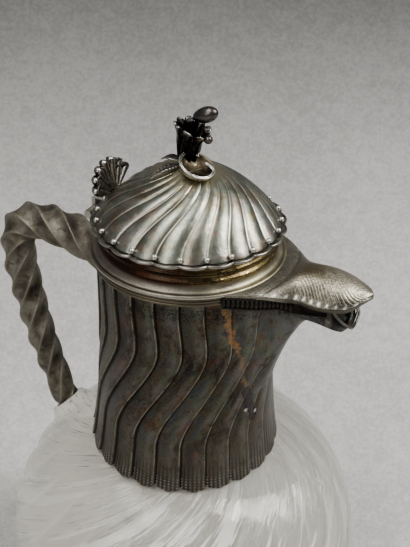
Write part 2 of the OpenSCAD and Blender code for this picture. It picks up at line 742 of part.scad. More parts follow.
module finial_stem() {
    screw_l = crown_z - nut_z + screw_out;
    color("silver") translate([0, 0, crown_z]) rotate_extrude($fn = 48)
        polygon([[0, -screw_l], [screw_r - 0.3, -screw_l], [screw_r, -screw_l + 0.3], [screw_r, seat],
            [stem_disc_r, seat], [stem_disc_r, stem_disc_h - 0.3], [stem_disc_r - 0.4, stem_disc_h],
            [screw_r + 0.4, stem_disc_h + 0.4], [screw_r + 0.9, stem_h], [0, stem_h]]);
}

module finial_washer() {
    color("silver") translate([0, 0, washer_z]) difference() {
        cylinder(r = stem_disc_r, h = washer_h, $fn = 48);
        translate([0, 0, -1]) cylinder(r = screw_r + seat, h = washer_h + 2, $fn = 32);
    }
}

module finial_nut() {
    color("silver") translate([0, 0, nut_z]) difference() {
        cylinder(r = stem_disc_r * 0.85, h = nut_h, $fn = 6);
        translate([0, 0, -1]) cylinder(r = screw_r + seat, h = nut_h + 2, $fn = 32);
    }
}

// Open flower with pleated petals. It stands a little off the jug's axis, towards the spout.
flower_x = 0.9;
petal_cut = 1.1;
petal_lift = 0.9;
petal_twist = 20;
flower_rows = 9;

// Radius of the flower at the part t of its height: a bell that closes again at its lip
function flower_at(t) =
    mix(screw_r + 1.2, flower_r, pow(sin(90 * min(1, t * 2.2)), 0.8)) - 1.8 * max(0, t - 0.5);

module finial_flower() {
    color("dimgray") translate([flower_x, 0, 0]) skin([for (k = [0 : flower_rows])
        let (t = k / flower_rows)
        [for (i = [0 : petal_count * coarse_steps - 1])
            let (u = i / coarse_steps, a = u * 360 / petal_count + petal_twist * t,
                q = flower_at(t) - lobe_cut(petal_cut * t, u), sag = lobe_cut(petal_lift * t, u))
            [q * cos(a), q * sin(a), mix(flower_z, flower_top_z, t) - sag]]]);
}

bud_x = 5.2;
bud_tilt = 66;

module finial_bud() {
    steps = 12;
    outline = [for (k = [0 : steps]) let (t = 180 * k / steps) [bud_r * sin(t), -bud_l * cos(t)]];
    reach = sqrt(pow(bud_l * cos(bud_tilt), 2) + pow(bud_r * sin(bud_tilt), 2));
    color("silver") translate([bud_x, 0, flower_top_z + reach + seat]) rotate([0, bud_tilt, 0])
        rotate_extrude($fn = 32) polygon(outline);
}

// Two small beads on the flower's side, under the bud
module finial_beads() {
    size = 1.1;
    color("silver") for (p = [[-18, 0.62], [-2, 0.86]])
        translate([flower_x, 0, 0]) rotate([0, 0, p[0]])
            translate([flower_r + size + seat, 0, mix(flower_z, flower_top_z, p[1])])
                sphere(r = size, $fn = 16);
}

// Scroll of half-round wire beside the stem, facing the pourer's left
scroll_turn = 27;
scroll_place = [7.8, -7.5];

module finial_scroll() {
    outer_r = scroll_r + scroll_wire_r;
    reach = norm(scroll_place);
    lowest = dome_z + dome_rise(reach / dome_r) + sit;
    color("silver") translate([scroll_place[0], scroll_place[1], lowest + outer_r])
        rotate([0, 0, scroll_turn]) rotate([90, 60, 0])
            rotate_extrude(angle = 310, $fn = 48)
                translate([scroll_r, 0]) circle(r = scroll_wire_r, $fn = 16);
}

// Two curled leaves that lie over the crown, from the stem outwards. Each row is a leaf's
// direction, its reach, half of its width and the height of its arch.
finial_leaf_list = [[226, 17, 2.4, 0.4], [150, 12, 2.2, 2.2]];
finial_leaf_steps = 8;
finial_leaf_half = 2;
finial_leaf_wall = 0.8;
tip_curl = 0.9;

function finial_leaf_point(p, j, i) =
    let (s = j / finial_leaf_steps, q = mix(stem_disc_r + seat, p[1], s),
        y = p[2] * sin(180 * mix(0.12, 0.97, s)) * i / finial_leaf_half,
        over_dome = dome_z + dome_rise(norm([q, y]) / dome_r) + sit,
        z = over_dome + p[3] * sin(180 * s) * s + tip_curl * pow(s, 3))
    [q * cos(p[0]) - y * sin(p[0]), q * sin(p[0]) + y * cos(p[0]), z];

module finial_leaves() {
    color("silver") for (p = finial_leaf_list) {
        under = [for (j = [0 : finial_leaf_steps])
            [for (i = [-finial_leaf_half : finial_leaf_half]) finial_leaf_point(p, j, i)]];
        sheet([for (row = under) [for (q = row) q + [0, 0, finial_leaf_wall]]], under);
    }
}

glass_body();
collar_cement();
neck_collar();
mouth_ring();
reeded_wire();
spout_bands();
spout_leaf();
spout_lip_wire();
handle();
handle_cement();
hinge_bracket();
hinge_pin();
lid_hinge_leaf();
thumbpiece();
lid_dome();
lid_rim();
lid_beads();
lid_bezel();
finial_stem();
finial_washer();
finial_nut();
finial_flower();
finial_bud();
finial_beads();
finial_scroll();
finial_leaves();
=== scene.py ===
"""Claret jug: a swirl-fluted glass body in silver mounts, with a covered spout, a twisted handle and a
hinged lid. The pieces follow one another as a silversmith puts the jug together. Sizes are in
millimetres and become metres where a mesh is made, while finishes read places in metres. X points to
the spout, Z up, and Y away from the viewer."""
import math
import bpy
import numpy as np
from mathutils import Matrix


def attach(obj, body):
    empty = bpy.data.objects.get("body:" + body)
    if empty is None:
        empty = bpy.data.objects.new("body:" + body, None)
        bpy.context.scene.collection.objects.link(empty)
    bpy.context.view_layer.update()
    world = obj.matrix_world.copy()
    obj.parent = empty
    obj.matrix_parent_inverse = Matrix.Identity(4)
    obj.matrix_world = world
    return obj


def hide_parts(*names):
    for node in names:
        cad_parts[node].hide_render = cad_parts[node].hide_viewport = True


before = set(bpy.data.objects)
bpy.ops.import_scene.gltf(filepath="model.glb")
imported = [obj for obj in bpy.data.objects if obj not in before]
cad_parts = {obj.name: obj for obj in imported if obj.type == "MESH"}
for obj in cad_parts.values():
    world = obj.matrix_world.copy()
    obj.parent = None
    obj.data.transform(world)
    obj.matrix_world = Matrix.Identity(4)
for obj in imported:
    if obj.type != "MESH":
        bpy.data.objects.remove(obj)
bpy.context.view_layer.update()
scene = bpy.context.scene

# ---- Table, light and camera ---------------------------------------------------------------
# The jug stands on a pale felt sheet. One softbox hangs high on its right, a tall one stands in
# front of it, a small one brightens the sheet, and a dim grey room fills the shadows.

MM = 0.001


class Field:
    """One socket of a node tree, so that sums and products of fields read as plain expressions."""

    def __init__(self, plan, socket):
        self.plan, self.socket = plan, socket

    def calc(self, how, *others):
        return self.plan.node("ShaderNodeMath", {"operation": how}, dict(enumerate((self, *others))))

    def swapped(self, how, other):
        return self.plan.node("ShaderNodeMath", {"operation": how}, {0: other, 1: self})

    def __add__(self, other): return self.calc("ADD", other)
    def __sub__(self, other): return self.calc("SUBTRACT", other)
    def __mul__(self, other): return self.calc("MULTIPLY", other)
    def __truediv__(self, other): return self.calc("DIVIDE", other)
    def __pow__(self, other): return self.calc("POWER", other)
    def __mod__(self, other): return self.calc("MODULO", other)
    def __rsub__(self, other): return self.swapped("SUBTRACT", other)
    def __rtruediv__(self, other): return self.swapped("DIVIDE", other)
    def __rpow__(self, other): return self.swapped("POWER", other)
    __radd__, __rmul__ = __add__, __mul__


class Plan:
    """The node tree of a finish or of a shape rule. Every node of it comes from node()."""

    def __init__(self, tree):
        self.tree = tree

    def node(self, kind, settings=None, sockets=None, out=0):
        made = self.tree.nodes.new(kind)
        for key, value in (settings or {}).items():
            if key == "stops":
                stops = made.color_ramp.elements
                stops.remove(stops[-1])
                stops[0].position, stops[0].color = value[0][0], (*value[0][1], 1)
                for place, colour in value[1:]:
                    stops.new(place).color = (*colour, 1)
            else:
                setattr(made, key, value)
        for key, value in (sockets or {}).items():
            if isinstance(value, Field):
                self.tree.links.new(value.socket, made.inputs[key])
            else:
                made.inputs[key].default_value = value
        return Field(self, made.outputs[out] if made.outputs else None)

    def place(self):
        return self.node("ShaderNodeTexCoord", out="Object")

    def stretched(self, where, scale):
        return self.node("ShaderNodeMapping", None, {"Vector": where, "Scale": scale})

    def point(self, x=0, y=0, z=0):
        return self.node("ShaderNodeCombineXYZ", None, {0: x, 1: y, 2: z})

    def parts(self, where):
        split = self.node("ShaderNodeSeparateXYZ", None, {0: where})
        return [Field(self, split.socket.node.outputs[k]) for k in range(3)]

    def noise(self, size, detail=4.0, rough=0.55, where=None, warp=0.0):
        """Cloudy pattern from 0 to 1 whose patches are about size millimetres across."""
        return self.node("ShaderNodeTexNoise", None, {
            "Vector": where or self.place(), "Scale": 1 / (size * MM), "Detail": detail,
            "Roughness": rough, "Distortion": warp})

    def band(self, value, low, high):
        """0 below low, 1 above high, smooth between them. low may be the larger one."""
        return self.node("ShaderNodeMapRange", {"interpolation_type": "SMOOTHSTEP"}, {
            "Value": value, "From Min": low, "From Max": high})

    def mark(self, name, vector=False):
        return self.node("ShaderNodeAttribute", {"attribute_name": name}, out=1 if vector else 2)

    def blend(self, share, first, second, how="MIX"):
        """A colour between two colours, each a triple or a field."""
        first, second = (c if isinstance(c, Field) else (*c, 1) for c in (first, second))
        return self.node("ShaderNodeMix", {"data_type": "RGBA", "blend_type": how}, {
            0: share, 6: first, 7: second}, out=2)

    def layers(self, tone, *coats):
        """Colours laid over a first one in turn: each coat is the share that it covers and its colour."""
        for share, colour in coats:
            tone = self.blend(share, tone, colour)
        return tone

    def ramp(self, value, *stops):
        return self.node("ShaderNodeValToRGB", {"stops": stops}, {0: value})

    def bump(self, height, depth, under=None):
        """Relief of the given depth in millimetres, where height runs from 0 to 1."""
        sockets = {"Height": height, "Strength": 1.0, "Distance": depth * MM}
        if under:
            sockets["Normal"] = under
        return self.node("ShaderNodeBump", None, sockets)

    def shader(self, sockets):
        return self.node("ShaderNodeBsdfPrincipled", None, sockets)

    def surface(self, shader):
        self.node("ShaderNodeOutputMaterial", None, {0: shader})

    def silvered(self, tone, roughness, relief):
        """Closes a metal finish."""
        self.surface(self.shader({
            "Base Color": tone, "Metallic": 1.0, "Roughness": roughness, "Normal": relief}))


def new_finish(name):
    """An empty finish and the plan of its nodes."""
    made = bpy.data.materials.new(name)
    made.use_nodes = True
    made.node_tree.nodes.clear()
    return made, Plan(made.node_tree)


def placed(name, data):
    made = bpy.data.objects.new(name, data)
    scene.collection.objects.link(made)
    return made


def unit(way):
    """A direction, or an array of them, brought to length one."""
    return way / np.linalg.norm(way, axis=-1, keepdims=True)


def facing(side, top, away, place):
    """How a camera or a lamp stands that looks against away."""
    return Matrix([*zip(side, top, away, place), (0, 0, 0, 1)])


camera_data = bpy.data.cameras.new("viewer")
camera_data.sensor_fit, camera_data.sensor_height = "VERTICAL", 36
camera_data.lens, camera_data.clip_start = 54.1, 0.01
camera = placed("viewer", camera_data)
camera.matrix_world = facing(
    (0.8939589, 0.44727175, 0.02802612), (-0.25509609, 0.45644738, 0.85239767),
    (0.36846094, -0.76915784, 0.52214247), (0.12473, -0.2448, 0.37076))
scene.camera = camera


def softbox(name, place, target, width, height, watts, tint):
    data = bpy.data.lights.new(name, "AREA")
    data.shape, data.size, data.size_y = "RECTANGLE", width, height
    data.energy, data.color = watts, tint
    away = unit(np.subtract(place, target))
    side = unit(np.cross((0, 0, 1), away))
    placed(name, data).matrix_world = facing(side, np.cross(away, side), away, place)


softbox("window", (0.76, 0.25, 1.0), (0, 0, 0.2), 0.40, 0.70, 17, (1.0, 0.99, 0.965))
softbox("front_fill", (-0.16, -0.95, 1.05), (0, 0, 0.2), 0.42, 1.2, 7, (1.0, 0.985, 0.95))
softbox("sheet_glow", (-0.15, -0.2, 0.9), (-0.1, 0.25, 0), 0.3, 0.3, 2.4, (1.0, 0.98, 0.94))

room = bpy.data.worlds.new("room")
room.use_nodes = True
backdrop = room.node_tree.nodes["Background"].inputs
backdrop["Color"].default_value, backdrop["Strength"].default_value = (0.86, 0.855, 0.83, 1), 0.25
scene.world = room

# Its flock is drawn coarser the farther it lies from the jug's front, so that the grain stays even.
sheet_half, far_x, far_y = 9.0, -0.432, 0.902
sheet_finish, plan = new_finish("pale_felt")
x, y, _ = plan.parts(plan.place())
along = y * far_y + x * far_x
reach = (along * 0.853 + 0.428).calc("MAXIMUM", 0.1)
spread = plan.point((x * far_y - y * far_x) / reach, 0.435 / reach)
flock = (plan.noise(5, 5, 0.75, spread) * 0.5 + plan.noise(16, 4, 0.7, spread) * 0.3
         + plan.noise(150, 3, 0.5, spread) * 0.2)
# Painted shade: the sheet darkens farther back from the jug, standing in for the lamps' light falling off.
tone = plan.blend(plan.band(along, 0.15, 1.35), (0.68, 0.672, 0.655), (0.50, 0.50, 0.49))
tone = plan.blend(plan.band(flock, 0.40, 0.60), plan.blend(0.26, tone, (0, 0, 0)), tone)
plan.surface(plan.shader({"Base Color": tone, "Roughness": 0.95, "Specular IOR Level": 0.1}))
table_mesh = bpy.data.meshes.new("felt_sheet")
table_mesh.from_pydata([(-sheet_half, -sheet_half, 0), (sheet_half, -sheet_half, 0),
                        (sheet_half, sheet_half, 0), (-sheet_half, sheet_half, 0)], [], [(0, 1, 2, 3)])
table_mesh.materials.append(sheet_finish)
placed("felt_sheet", table_mesh)

# ---- Glass body ----------------------------------------------------------------------------
# Bowl and neck are one blown piece of clear glass, cut with 24 flutes that swirl down from the
# shoulder. A round lug for the handle is fused on its shoulder. Wine has left it a little milky.

lobes, lobe_phase = 24, 7.5
bowl_r, bowl_mid, bowl_rise, base_r, bowl_wall, base_thick = 79.5, 65, 59, 42, 5, 9
neck_r, neck_bore, neck_mid, neck_top, shoulder = 32.5, 28, 150, 180, 124
glass_flute, glass_turn = 1.4, 60
landing_r, lug_h, lug_foot, lug_head = 61, 3, 10.5, 7.8


def mix(a, b, share):
    return a + (b - a) * share


def smooth(share):
    return share * share * (3 - 2 * share)


def ease(share):
    return smooth(np.clip(share, 0, 1))


def bell(off, wide):
    """1 where off is nothing, and fading to 0 over a few widths."""
    return np.exp(-(off / wide) ** 2)


def off_valley(share):
    """How far a share of a lobe lies from the nearest valley between two lobes."""
    return np.minimum(share % 1, 1 - share % 1)


def lobe_cut(depth, share):
    """Depth lost at a share of a lobe: a valley at both ends, none in the middle."""
    return depth * (1 - np.sin(np.pi * (share % 1)))


def polar(radius, degrees, height):
    turn = np.radians(degrees)
    return np.stack(np.broadcast_arrays(radius * np.cos(turn), radius * np.sin(turn), height), -1)


def skin(name, rows, finish, marks=None, loop=False):
    """A closed mesh over rings of points in millimetres, turned outwards. loop joins the last ring to
    the first, and without it a fan closes both ends. marks become attributes."""
    rows = np.asarray(rows, float)
    m, n = rows.shape[:2]
    j, i = np.meshgrid(np.arange(m if loop else m - 1), np.arange(n), indexing="ij")
    k, h = (j + 1) % m, (i + 1) % n
    quads = np.stack([j * n + i, j * n + h, k * n + h, k * n + i], -1).reshape(-1, 4)
    points = rows.reshape(-1, 3)
    ends = np.zeros((0, 3), int)
    if not loop:
        points = np.vstack([points, rows[0].mean(0), rows[-1].mean(0)])
        around, ahead, low, high = np.arange(n), (np.arange(n) + 1) % n, m * n, m * n + 1
        ends = np.vstack([np.stack([np.full(n, low), ahead, around], -1),
                          np.stack([np.full(n, high), (m - 1) * n + around, (m - 1) * n + ahead], -1)])
    thirds = np.vstack([quads[:, [0, 1, 2]], quads[:, [0, 2, 3]], ends])
    a, b, c = (points[thirds[:, k]] for k in range(3))
    if np.einsum("ij,ij->i", a, np.cross(b, c)).sum() < 0:
        quads, ends = quads[:, ::-1], ends[:, ::-1]
    mesh = bpy.data.meshes.new(name)
    mesh.vertices.add(len(points))
    mesh.vertices.foreach_set("co", (points * MM).astype(np.float32).ravel())
    mesh.loops.add(quads.size + ends.size)
    mesh.loops.foreach_set("vertex_index", np.concatenate([quads.ravel(), ends.ravel()]).astype(np.int32))
    mesh.polygons.add(len(quads) + len(ends))
    mesh.polygons.foreach_set("loop_start", np.concatenate(
        [np.arange(len(quads)) * 4, quads.size + np.arange(len(ends)) * 3]).astype(np.int32))
    mesh.polygons.foreach_set("use_smooth", np.ones(len(quads) + len(ends), bool))
    mesh.update(calc_edges=True)
    for key, values in (marks or {}).items():
        values = np.broadcast_to(values, (m, n)).ravel() if np.ndim(values) < 3 else values.reshape(-1, 3)
        values = np.concatenate([values, values[:len(points) - m * n] * 0])
        kind, slot = ("FLOAT", "value") if values.ndim == 1 else ("FLOAT_VECTOR", "vector")
        mesh.attributes.new(key, kind, "POINT").data.foreach_set(slot, values.astype(np.float32).ravel())
    mesh.materials.append(finish)
    return placed(name, mesh)


def fit(piece, body, slot, *nodes):
    """Hangs a piece on its body and hides the CAD nodes that it stands for. Its slot is not used."""
    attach(piece, body)
    if nodes:
        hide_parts(*nodes)
    return piece


clear_glass, plan = new_finish("blown_glass")
x, y, z = plan.parts(plan.place())
edge_mark, laid = plan.mark("arris"), plan.mark("laid", True)
haze = plan.band(plan.noise(26, 4, warp=0.6), 0.35, 0.75)
streak = plan.noise(7, 5, 0.6, plan.stretched(laid, (1, 1, 0.16)), 0.15)
strand = plan.noise(1.6, 4, 0.65, plan.stretched(laid, (1, 1, 0.07)))
# Painted highlights: the white streaks stand for the lamps' reflections in the glass, strongest on the
# front right of the upper bowl and faint elsewhere.
front = plan.band(x * 0.6 - y * 0.8, 0.030, 0.072)
bright = plan.band(streak + strand * 0.3, 0.685, 0.705) * (front * plan.band(z, 0.04, 0.10) * 0.8 + 0.14)
chip = plan.band(strand, 0.60, 0.66)
plaster = plan.band(y * y, 0.00026, 0.00012) * plan.band(x, -0.036, -0.044) * plan.band(x, -0.077, -0.071)
crumb = plan.band(plan.noise(2.2, 4, 0.7), 0.58, 0.66) * plaster
relief = plan.bump(streak, 1.2, plan.bump(chip, 0.35))
pure = plan.shader({
    "Base Color": plan.blend(haze, (0.985, 0.985, 0.97), (0.95, 0.945, 0.91)),
    "Roughness": haze * 0.10 + 0.03, "IOR": 1.5, "Transmission Weight": 1.0, "Normal": relief})
painted_glints_and_chips = (bright + chip * 0.8).calc("MINIMUM", 1.0)
cloudy = plan.layers((0.87, 0.845, 0.75), (painted_glints_and_chips, (0.98, 0.97, 0.94)), (crumb, (0.30, 0.22, 0.12)))
film = plan.shader({"Base Color": cloudy, "Roughness": 0.03, "IOR": 1.7, "Normal": relief})
milky = (bright * 0.7 + haze * 0.10 + plan.band(x, 0.02, -0.05) * 0.50 + edge_mark * 0.12 + chip * 0.35
         + plaster * 0.6 + 0.17)
plan.surface(plan.node("ShaderNodeMixShader", None, {0: milky.calc("MINIMUM", 0.9), 1: pure, 2: film}))

share = np.arange(lobes * 12) / 12
belly = np.radians(np.linspace(90, 0, 46)[:-1])
rise = np.radians(np.linspace(0, 90, 62))
down = np.radians(np.linspace(90, 0, 30))
inner = np.radians(np.linspace(0, 90, 26)[1:])
outer_line = np.vstack([
    np.stack([mix(base_r, bowl_r, np.cos(belly)), bowl_mid * (1 - np.sin(belly))], -1),
    np.stack([mix(neck_r, bowl_r, np.cos(rise)), bowl_mid + bowl_rise * np.sin(rise)], -1),
    [[neck_r, neck_mid], [neck_r, neck_top - 0.4], [neck_r - 0.6, neck_top], [neck_bore + 0.6, neck_top]]])
inner_line = np.vstack([
    [[neck_bore, neck_top - 0.6], [neck_bore, neck_mid]],
    np.stack([mix(neck_bore, bowl_r - bowl_wall, np.cos(down)),
              bowl_mid + (bowl_rise - bowl_wall) * np.sin(down)], -1),
    np.stack([mix(base_r - 8, bowl_r - bowl_wall, np.cos(inner)),
              mix(bowl_mid, base_thick, np.sin(inner))], -1)])
line = np.vstack([outer_line, inner_line])
radius, height = line[:, :1], line[:, 1:]
turn = -glass_turn * ease((shoulder - height) / shoulder)
outside = (np.arange(len(line)) < len(outer_line))[:, None]
cut = glass_flute * ease(height / 12) * ease((shoulder - 2 - height) / 16) * outside
body_rows = polar(radius - lobe_cut(cut, share), share * 360 / lobes + lobe_phase + turn, height)
cut_edge = bell(off_valley(share), 0.07) * np.minimum(cut, 1)
run = np.concatenate([[0], np.hypot(*np.diff(line, axis=0).T)]).cumsum()[:, None]
# The streaks are drawn on the skin as if it were unrolled, so that they run slantwise down the bowl.
streak_r, streak_slant = 60, 50
slant = streak_slant * (radius - neck_r) / (bowl_r - neck_r)
unrolled = polar(streak_r, share[None] * 360 / lobes + slant, run) * MM
lug_angle = math.acos((landing_r - neck_r) / (bowl_r - neck_r))
landing = np.array([-landing_r, 0, bowl_mid + bowl_rise * math.sin(lug_angle)])
way_out = unit(np.array([-math.cos(lug_angle) / (bowl_r - neck_r), 0, math.sin(lug_angle) / bowl_rise]))
off = body_rows - landing
along_out = off @ way_out
aside = np.linalg.norm(off - along_out[..., None] * way_out, axis=-1)
raised = ease((lug_foot + 0.5 - aside) / (lug_foot + 0.5 - lug_head)) * outside * (height < shoulder - 0.1)
body_rows += way_out * (raised * (lug_h - along_out) * (aside < lug_foot + 0.6))[..., None]
fit(skin("glass_jug", body_rows, clear_glass, {"arris": cut_edge, "laid": unrolled}), "root", "glass",
    "glass_body")

# ---- Cement --------------------------------------------------------------------------------
# Plaster cement beds the glass neck in the collar and holds the handle's end on the lug. It is
# poured wet, sets matt and cream, and shows through the glass.


def refinish(made, *names):
    """Gives a finish to solids that need no other shape."""
    for name in names:
        for place_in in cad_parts[name].material_slots:
            place_in.material = made


plaster, plan = new_finish("plaster_cement")
grit = plan.noise(1.1, 5, 0.7)
stain = plan.band(plan.noise(6, 3), 0.45, 0.7)
plan.surface(plan.shader({
    "Base Color": plan.blend(stain, (0.74, 0.70, 0.58), (0.56, 0.50, 0.38)),
    "Roughness": 0.85, "Normal": plan.bump(grit, 0.25)}))
refinish(plaster, "collar_cement", "handle_cement")

# ---- Collar with its spout -----------------------------------------------------------------
# The neck collar is raised from sheet silver with 24 S-shaped lobes, and its spout is beaten out
# of the same sheet. Its foot is milled with fine ribs. Brown and blue tarnish covers it, and a
# rusty run under the spout ends in a dark drip.

foot_z, collar_h, collar_r, foot_flare, foot_notch = 124.2, 90, 35.3, 5.2, 1.7
collar_top, foot_twist, milled_ribs, sheet_wall = foot_z + collar_h, 27.3, lobes * 6, 1.5
spout_drop, spout_reach, spout_depth, spout_half, lip_half, inner_tuck = 54, 67, 14, 47, 8.4, 1.5
flange_r, leaf_reach, leaf_droop = 37.8, 73.4, 3.1


def collar_turn(t):
    """Degrees that the lobes are turned at the share t of the collar's height."""
    return -foot_twist * (1 - ease((t - 0.22) / 0.48)) + 2.6 * bell(t - 0.72, 0.12)


def off_spout(degrees):
    """Degrees from the spout's middle, to either side."""
    return np.abs((degrees % 360 + 540) % 360 - 180)


def beak(degrees):
    """How far the sheet is drawn out: 1 along the spout's middle, 0 beyond its half width."""
    nose = 1 - ease((off_spout(degrees) - 4) / 17)
    tail = 0.44 * np.maximum(0, 1 - off_spout(degrees) / spout_half)
    return np.minimum(1, (nose ** 4 + tail ** 4) ** 0.25)


def mouth_dip(degrees):
    """The round cut of the pouring mouth: 1 at its lowest, 0 at its corners."""
    return np.cos(np.pi / 2 * np.minimum(off_spout(degrees) / lip_half, 1)) ** 0.5


def edge_drop(s):
    """How far the leaf's edge hangs at the share s of the leaf's length."""
    return leaf_droop * ease(s / 0.3) * (1 - 0.85 * ease((s - 0.8) / 0.2))


def sag_at(radius, degrees):
    """How far the leaf's edge hangs below the collar's top at a place round the spout."""
    x, y, _ = np.moveaxis(polar(radius, degrees, 0), -1, 0)
    root = np.sqrt(np.maximum((flange_r + 0.05) ** 2 - y * y, 1))
    return edge_drop(np.clip((x - root) / (leaf_reach - root), 0, 1))


def pleat(depth, share):
    """Depth lost at a share of a lobe: it swells to a ridge near its end and steps down beyond."""
    swell = np.sin(np.pi / 2 * np.clip(share % 1 / 0.94, 0, 1)) ** 0.8
    return depth * (1 - swell * (1 - ease((share % 1 - 0.945) / 0.05)))


def collar_row(t, share, depth, inset):
    """A ring of the collar at the share t of its height, and the share of the spout in each point."""
    turned = share * 360 / lobes + lobe_phase + collar_turn(t)
    r0 = collar_r + foot_flare * (1 - t) ** 3 - inset
    climb = max(0, 1 - (1 - t) * collar_h / spout_drop)
    w = beak(off_spout(turned) + inner_tuck if inset else turned) * ease(climb / 0.12)
    reach = mix(collar_r + 1.5, spout_reach, climb ** 1.9) - inset
    low = mix(-spout_drop, -spout_depth, math.sin(math.pi / 2 * min(1, climb / 0.8) ** 1.5))
    low += 2.2 * math.sin(math.pi * max(0, (climb - 0.55) / 0.45)) + inset * (t >= 1)
    q = mix(r0, np.maximum(reach, r0), w) - pleat(depth, share) * (1 - 0.75 * ease(w * 1.15))
    back_z, dip = (t - 1) * collar_h, w
    if t >= 1:
        back_z, dip = -sag_at(q, turned), mouth_dip(turned)
    notch = lobe_cut(foot_notch, share) + 0.5 * (1 - np.abs(np.sin(3 * np.pi * share)))
    z = collar_top + mix(back_z, low, dip) + notch * max(0, 1 - t / 0.05)
    return polar(q, turned, z), w


def trail(points, path, wide):
    """How near points lie to a path of degrees and height on the collar: 1 on it, 0 far off."""
    here = np.stack([np.arctan2(points[..., 1], points[..., 0]) * collar_r, points[..., 2]], -1)
    spots = np.array([(math.radians(degrees) * collar_r, height) for degrees, height in path])
    spots = np.vstack([mix(a, b, t) for a, b in zip(spots, spots[1:]) for t in np.linspace(0, 1, 9)])
    spots[:, 0] += 0.45 * np.sin(spots[:, 1] * 0.9) + 0.3 * np.sin(spots[:, 1] * 2.3)
    near = np.full(points.shape[:-1], 1e9)
    for spot in spots:
        near = np.minimum(near, np.linalg.norm(here - spot, axis=-1))
    return bell(near, wide)


dark_silver, plan = new_finish("dark_silver")
x, y, z = plan.parts(plan.place())
laid = plan.mark("laid", True)
arris, sheen, soot, rusty, drip, bright = (
    plan.mark(name) for name in ("arris", "sheen", "soot", "rusty", "drip", "bright"))
cloud = plan.noise(12, 6, 0.68, plan.stretched(laid, (1, 1, 0.5)), 0.5)
patch = plan.noise(3.2, 5, 0.7, plan.stretched(laid, (1, 1, 0.6)))
speck = plan.noise(0.9, 4, 0.75)
tone = plan.blend(0.8, plan.ramp(
    cloud, (0.30, (0.012, 0.010, 0.011)), (0.42, (0.030, 0.026, 0.021)), (0.50, (0.056, 0.048, 0.033)),
    (0.57, (0.046, 0.050, 0.053)), (0.64, (0.088, 0.080, 0.054)), (0.76, (0.15, 0.132, 0.090))), plan.ramp(
        patch, (0.34, (0.42, 0.28, 0.34)), (0.46, (1.05, 0.90, 0.72)), (0.56, (0.66, 0.84, 1.10)),
        (0.68, (1.55, 1.22, 0.64))), "MULTIPLY")
red = plan.band(plan.noise(5, 4, where=plan.stretched(laid, (1, 1, 0.5))), 0.56, 0.70)
hue = plan.blend(plan.band(plan.noise(8, 3, where=laid), 0.42, 0.58), (0.150, 0.122, 0.112),
                 (0.112, 0.122, 0.080))
stain = plan.band(rusty + (speck + patch - 1) * 1.6, 0.50, 1.15) * plan.band(rusty, 0.1, 0.5)
curl = (plan.band(plan.noise(1.5, 2, warp=2.5), 0.50, 0.56) * plan.band(z, 0.2020, 0.2050)
        * plan.band(z, 0.2092, 0.2080))
ribs = y.calc("ARCTAN2", x) * milled_ribs + math.radians(foot_twist * milled_ribs)
ribs = ribs.calc("SINE") * 0.5 + 0.5
milled = plan.band(z, 0.1400, 0.1330)
ticks = ((z * (2 * math.pi / 0.0013)).calc("SINE") * 0.5 + 0.5) * plan.band(z, 0.1315, 0.1300)
tone = plan.layers(
    tone, (red * 0.75, (0.085, 0.030, 0.013)),
    (plan.band(plan.noise(0.6, 3, 0.8), 0.57, 0.68) * 0.5, (0.17, 0.16, 0.125)),
    # Painted highlight: a lighter sheen across the swell of each lobe.
    (sheen * plan.band(cloud + patch, 0.80, 1.16) * 0.68, hue),
    # Painted light: the collar is lighter on its left side and carries bluish lit streaks toward the spout.
    (plan.band(x, -0.012, -0.034) * 0.35, (0.135, 0.125, 0.108)),
    (plan.band(x, 0.032, 0.046) * plan.band(patch, 0.40, 0.60) * 0.45, (0.115, 0.132, 0.145)),
    (plan.band(z, 0.156, 0.130) * 0.32, (0.150, 0.135, 0.108)),
    (arris * plan.band(patch, 0.34, 0.58) * 0.85, (0.30, 0.275, 0.19)),
    # Painted shade: dark in each valley beside a ridge and over the whole inside of the collar.
    (plan.band(speck, 0.55, 0.68) * 0.65, (0.010, 0.008, 0.007)), (soot * 0.85, (0.006, 0.005, 0.005)),
    (stain, plan.blend(speck, (0.075, 0.030, 0.010), (0.36, 0.175, 0.038))),
    (plan.band(drip + (speck - 0.5) * 0.9, 0.28, 0.50), (0.012, 0.006, 0.005)),
    (curl * 0.7, (0.006, 0.005, 0.006)),
    (milled * plan.band(ribs, 0.50, 0.10) * 0.45, (0.020, 0.018, 0.016)),
    # Painted highlights: bright ticks on the crests of the milled ribs.
    (plan.band(ticks * ribs * milled * (speck + patch), 0.62, 1.0) * 0.85, (0.46, 0.44, 0.39)),
    (plan.band(bright, 0.35, 0.8) * 0.8, (0.7, 0.68, 0.63)))
relief = plan.bump(curl, -0.25, plan.bump(patch, 0.22, plan.bump(speck, 0.11)))
plan.surface(plan.shader({
    "Base Color": tone, "Metallic": plan.band(rusty + drip, 1.0, 0.4) * 0.55 + 0.4,
    "Roughness": patch * 0.26 + speck * 0.22 + 0.20,
    "Normal": plan.bump(milled * ribs * (ticks * 0.5 + 0.5), 0.5, relief)}))

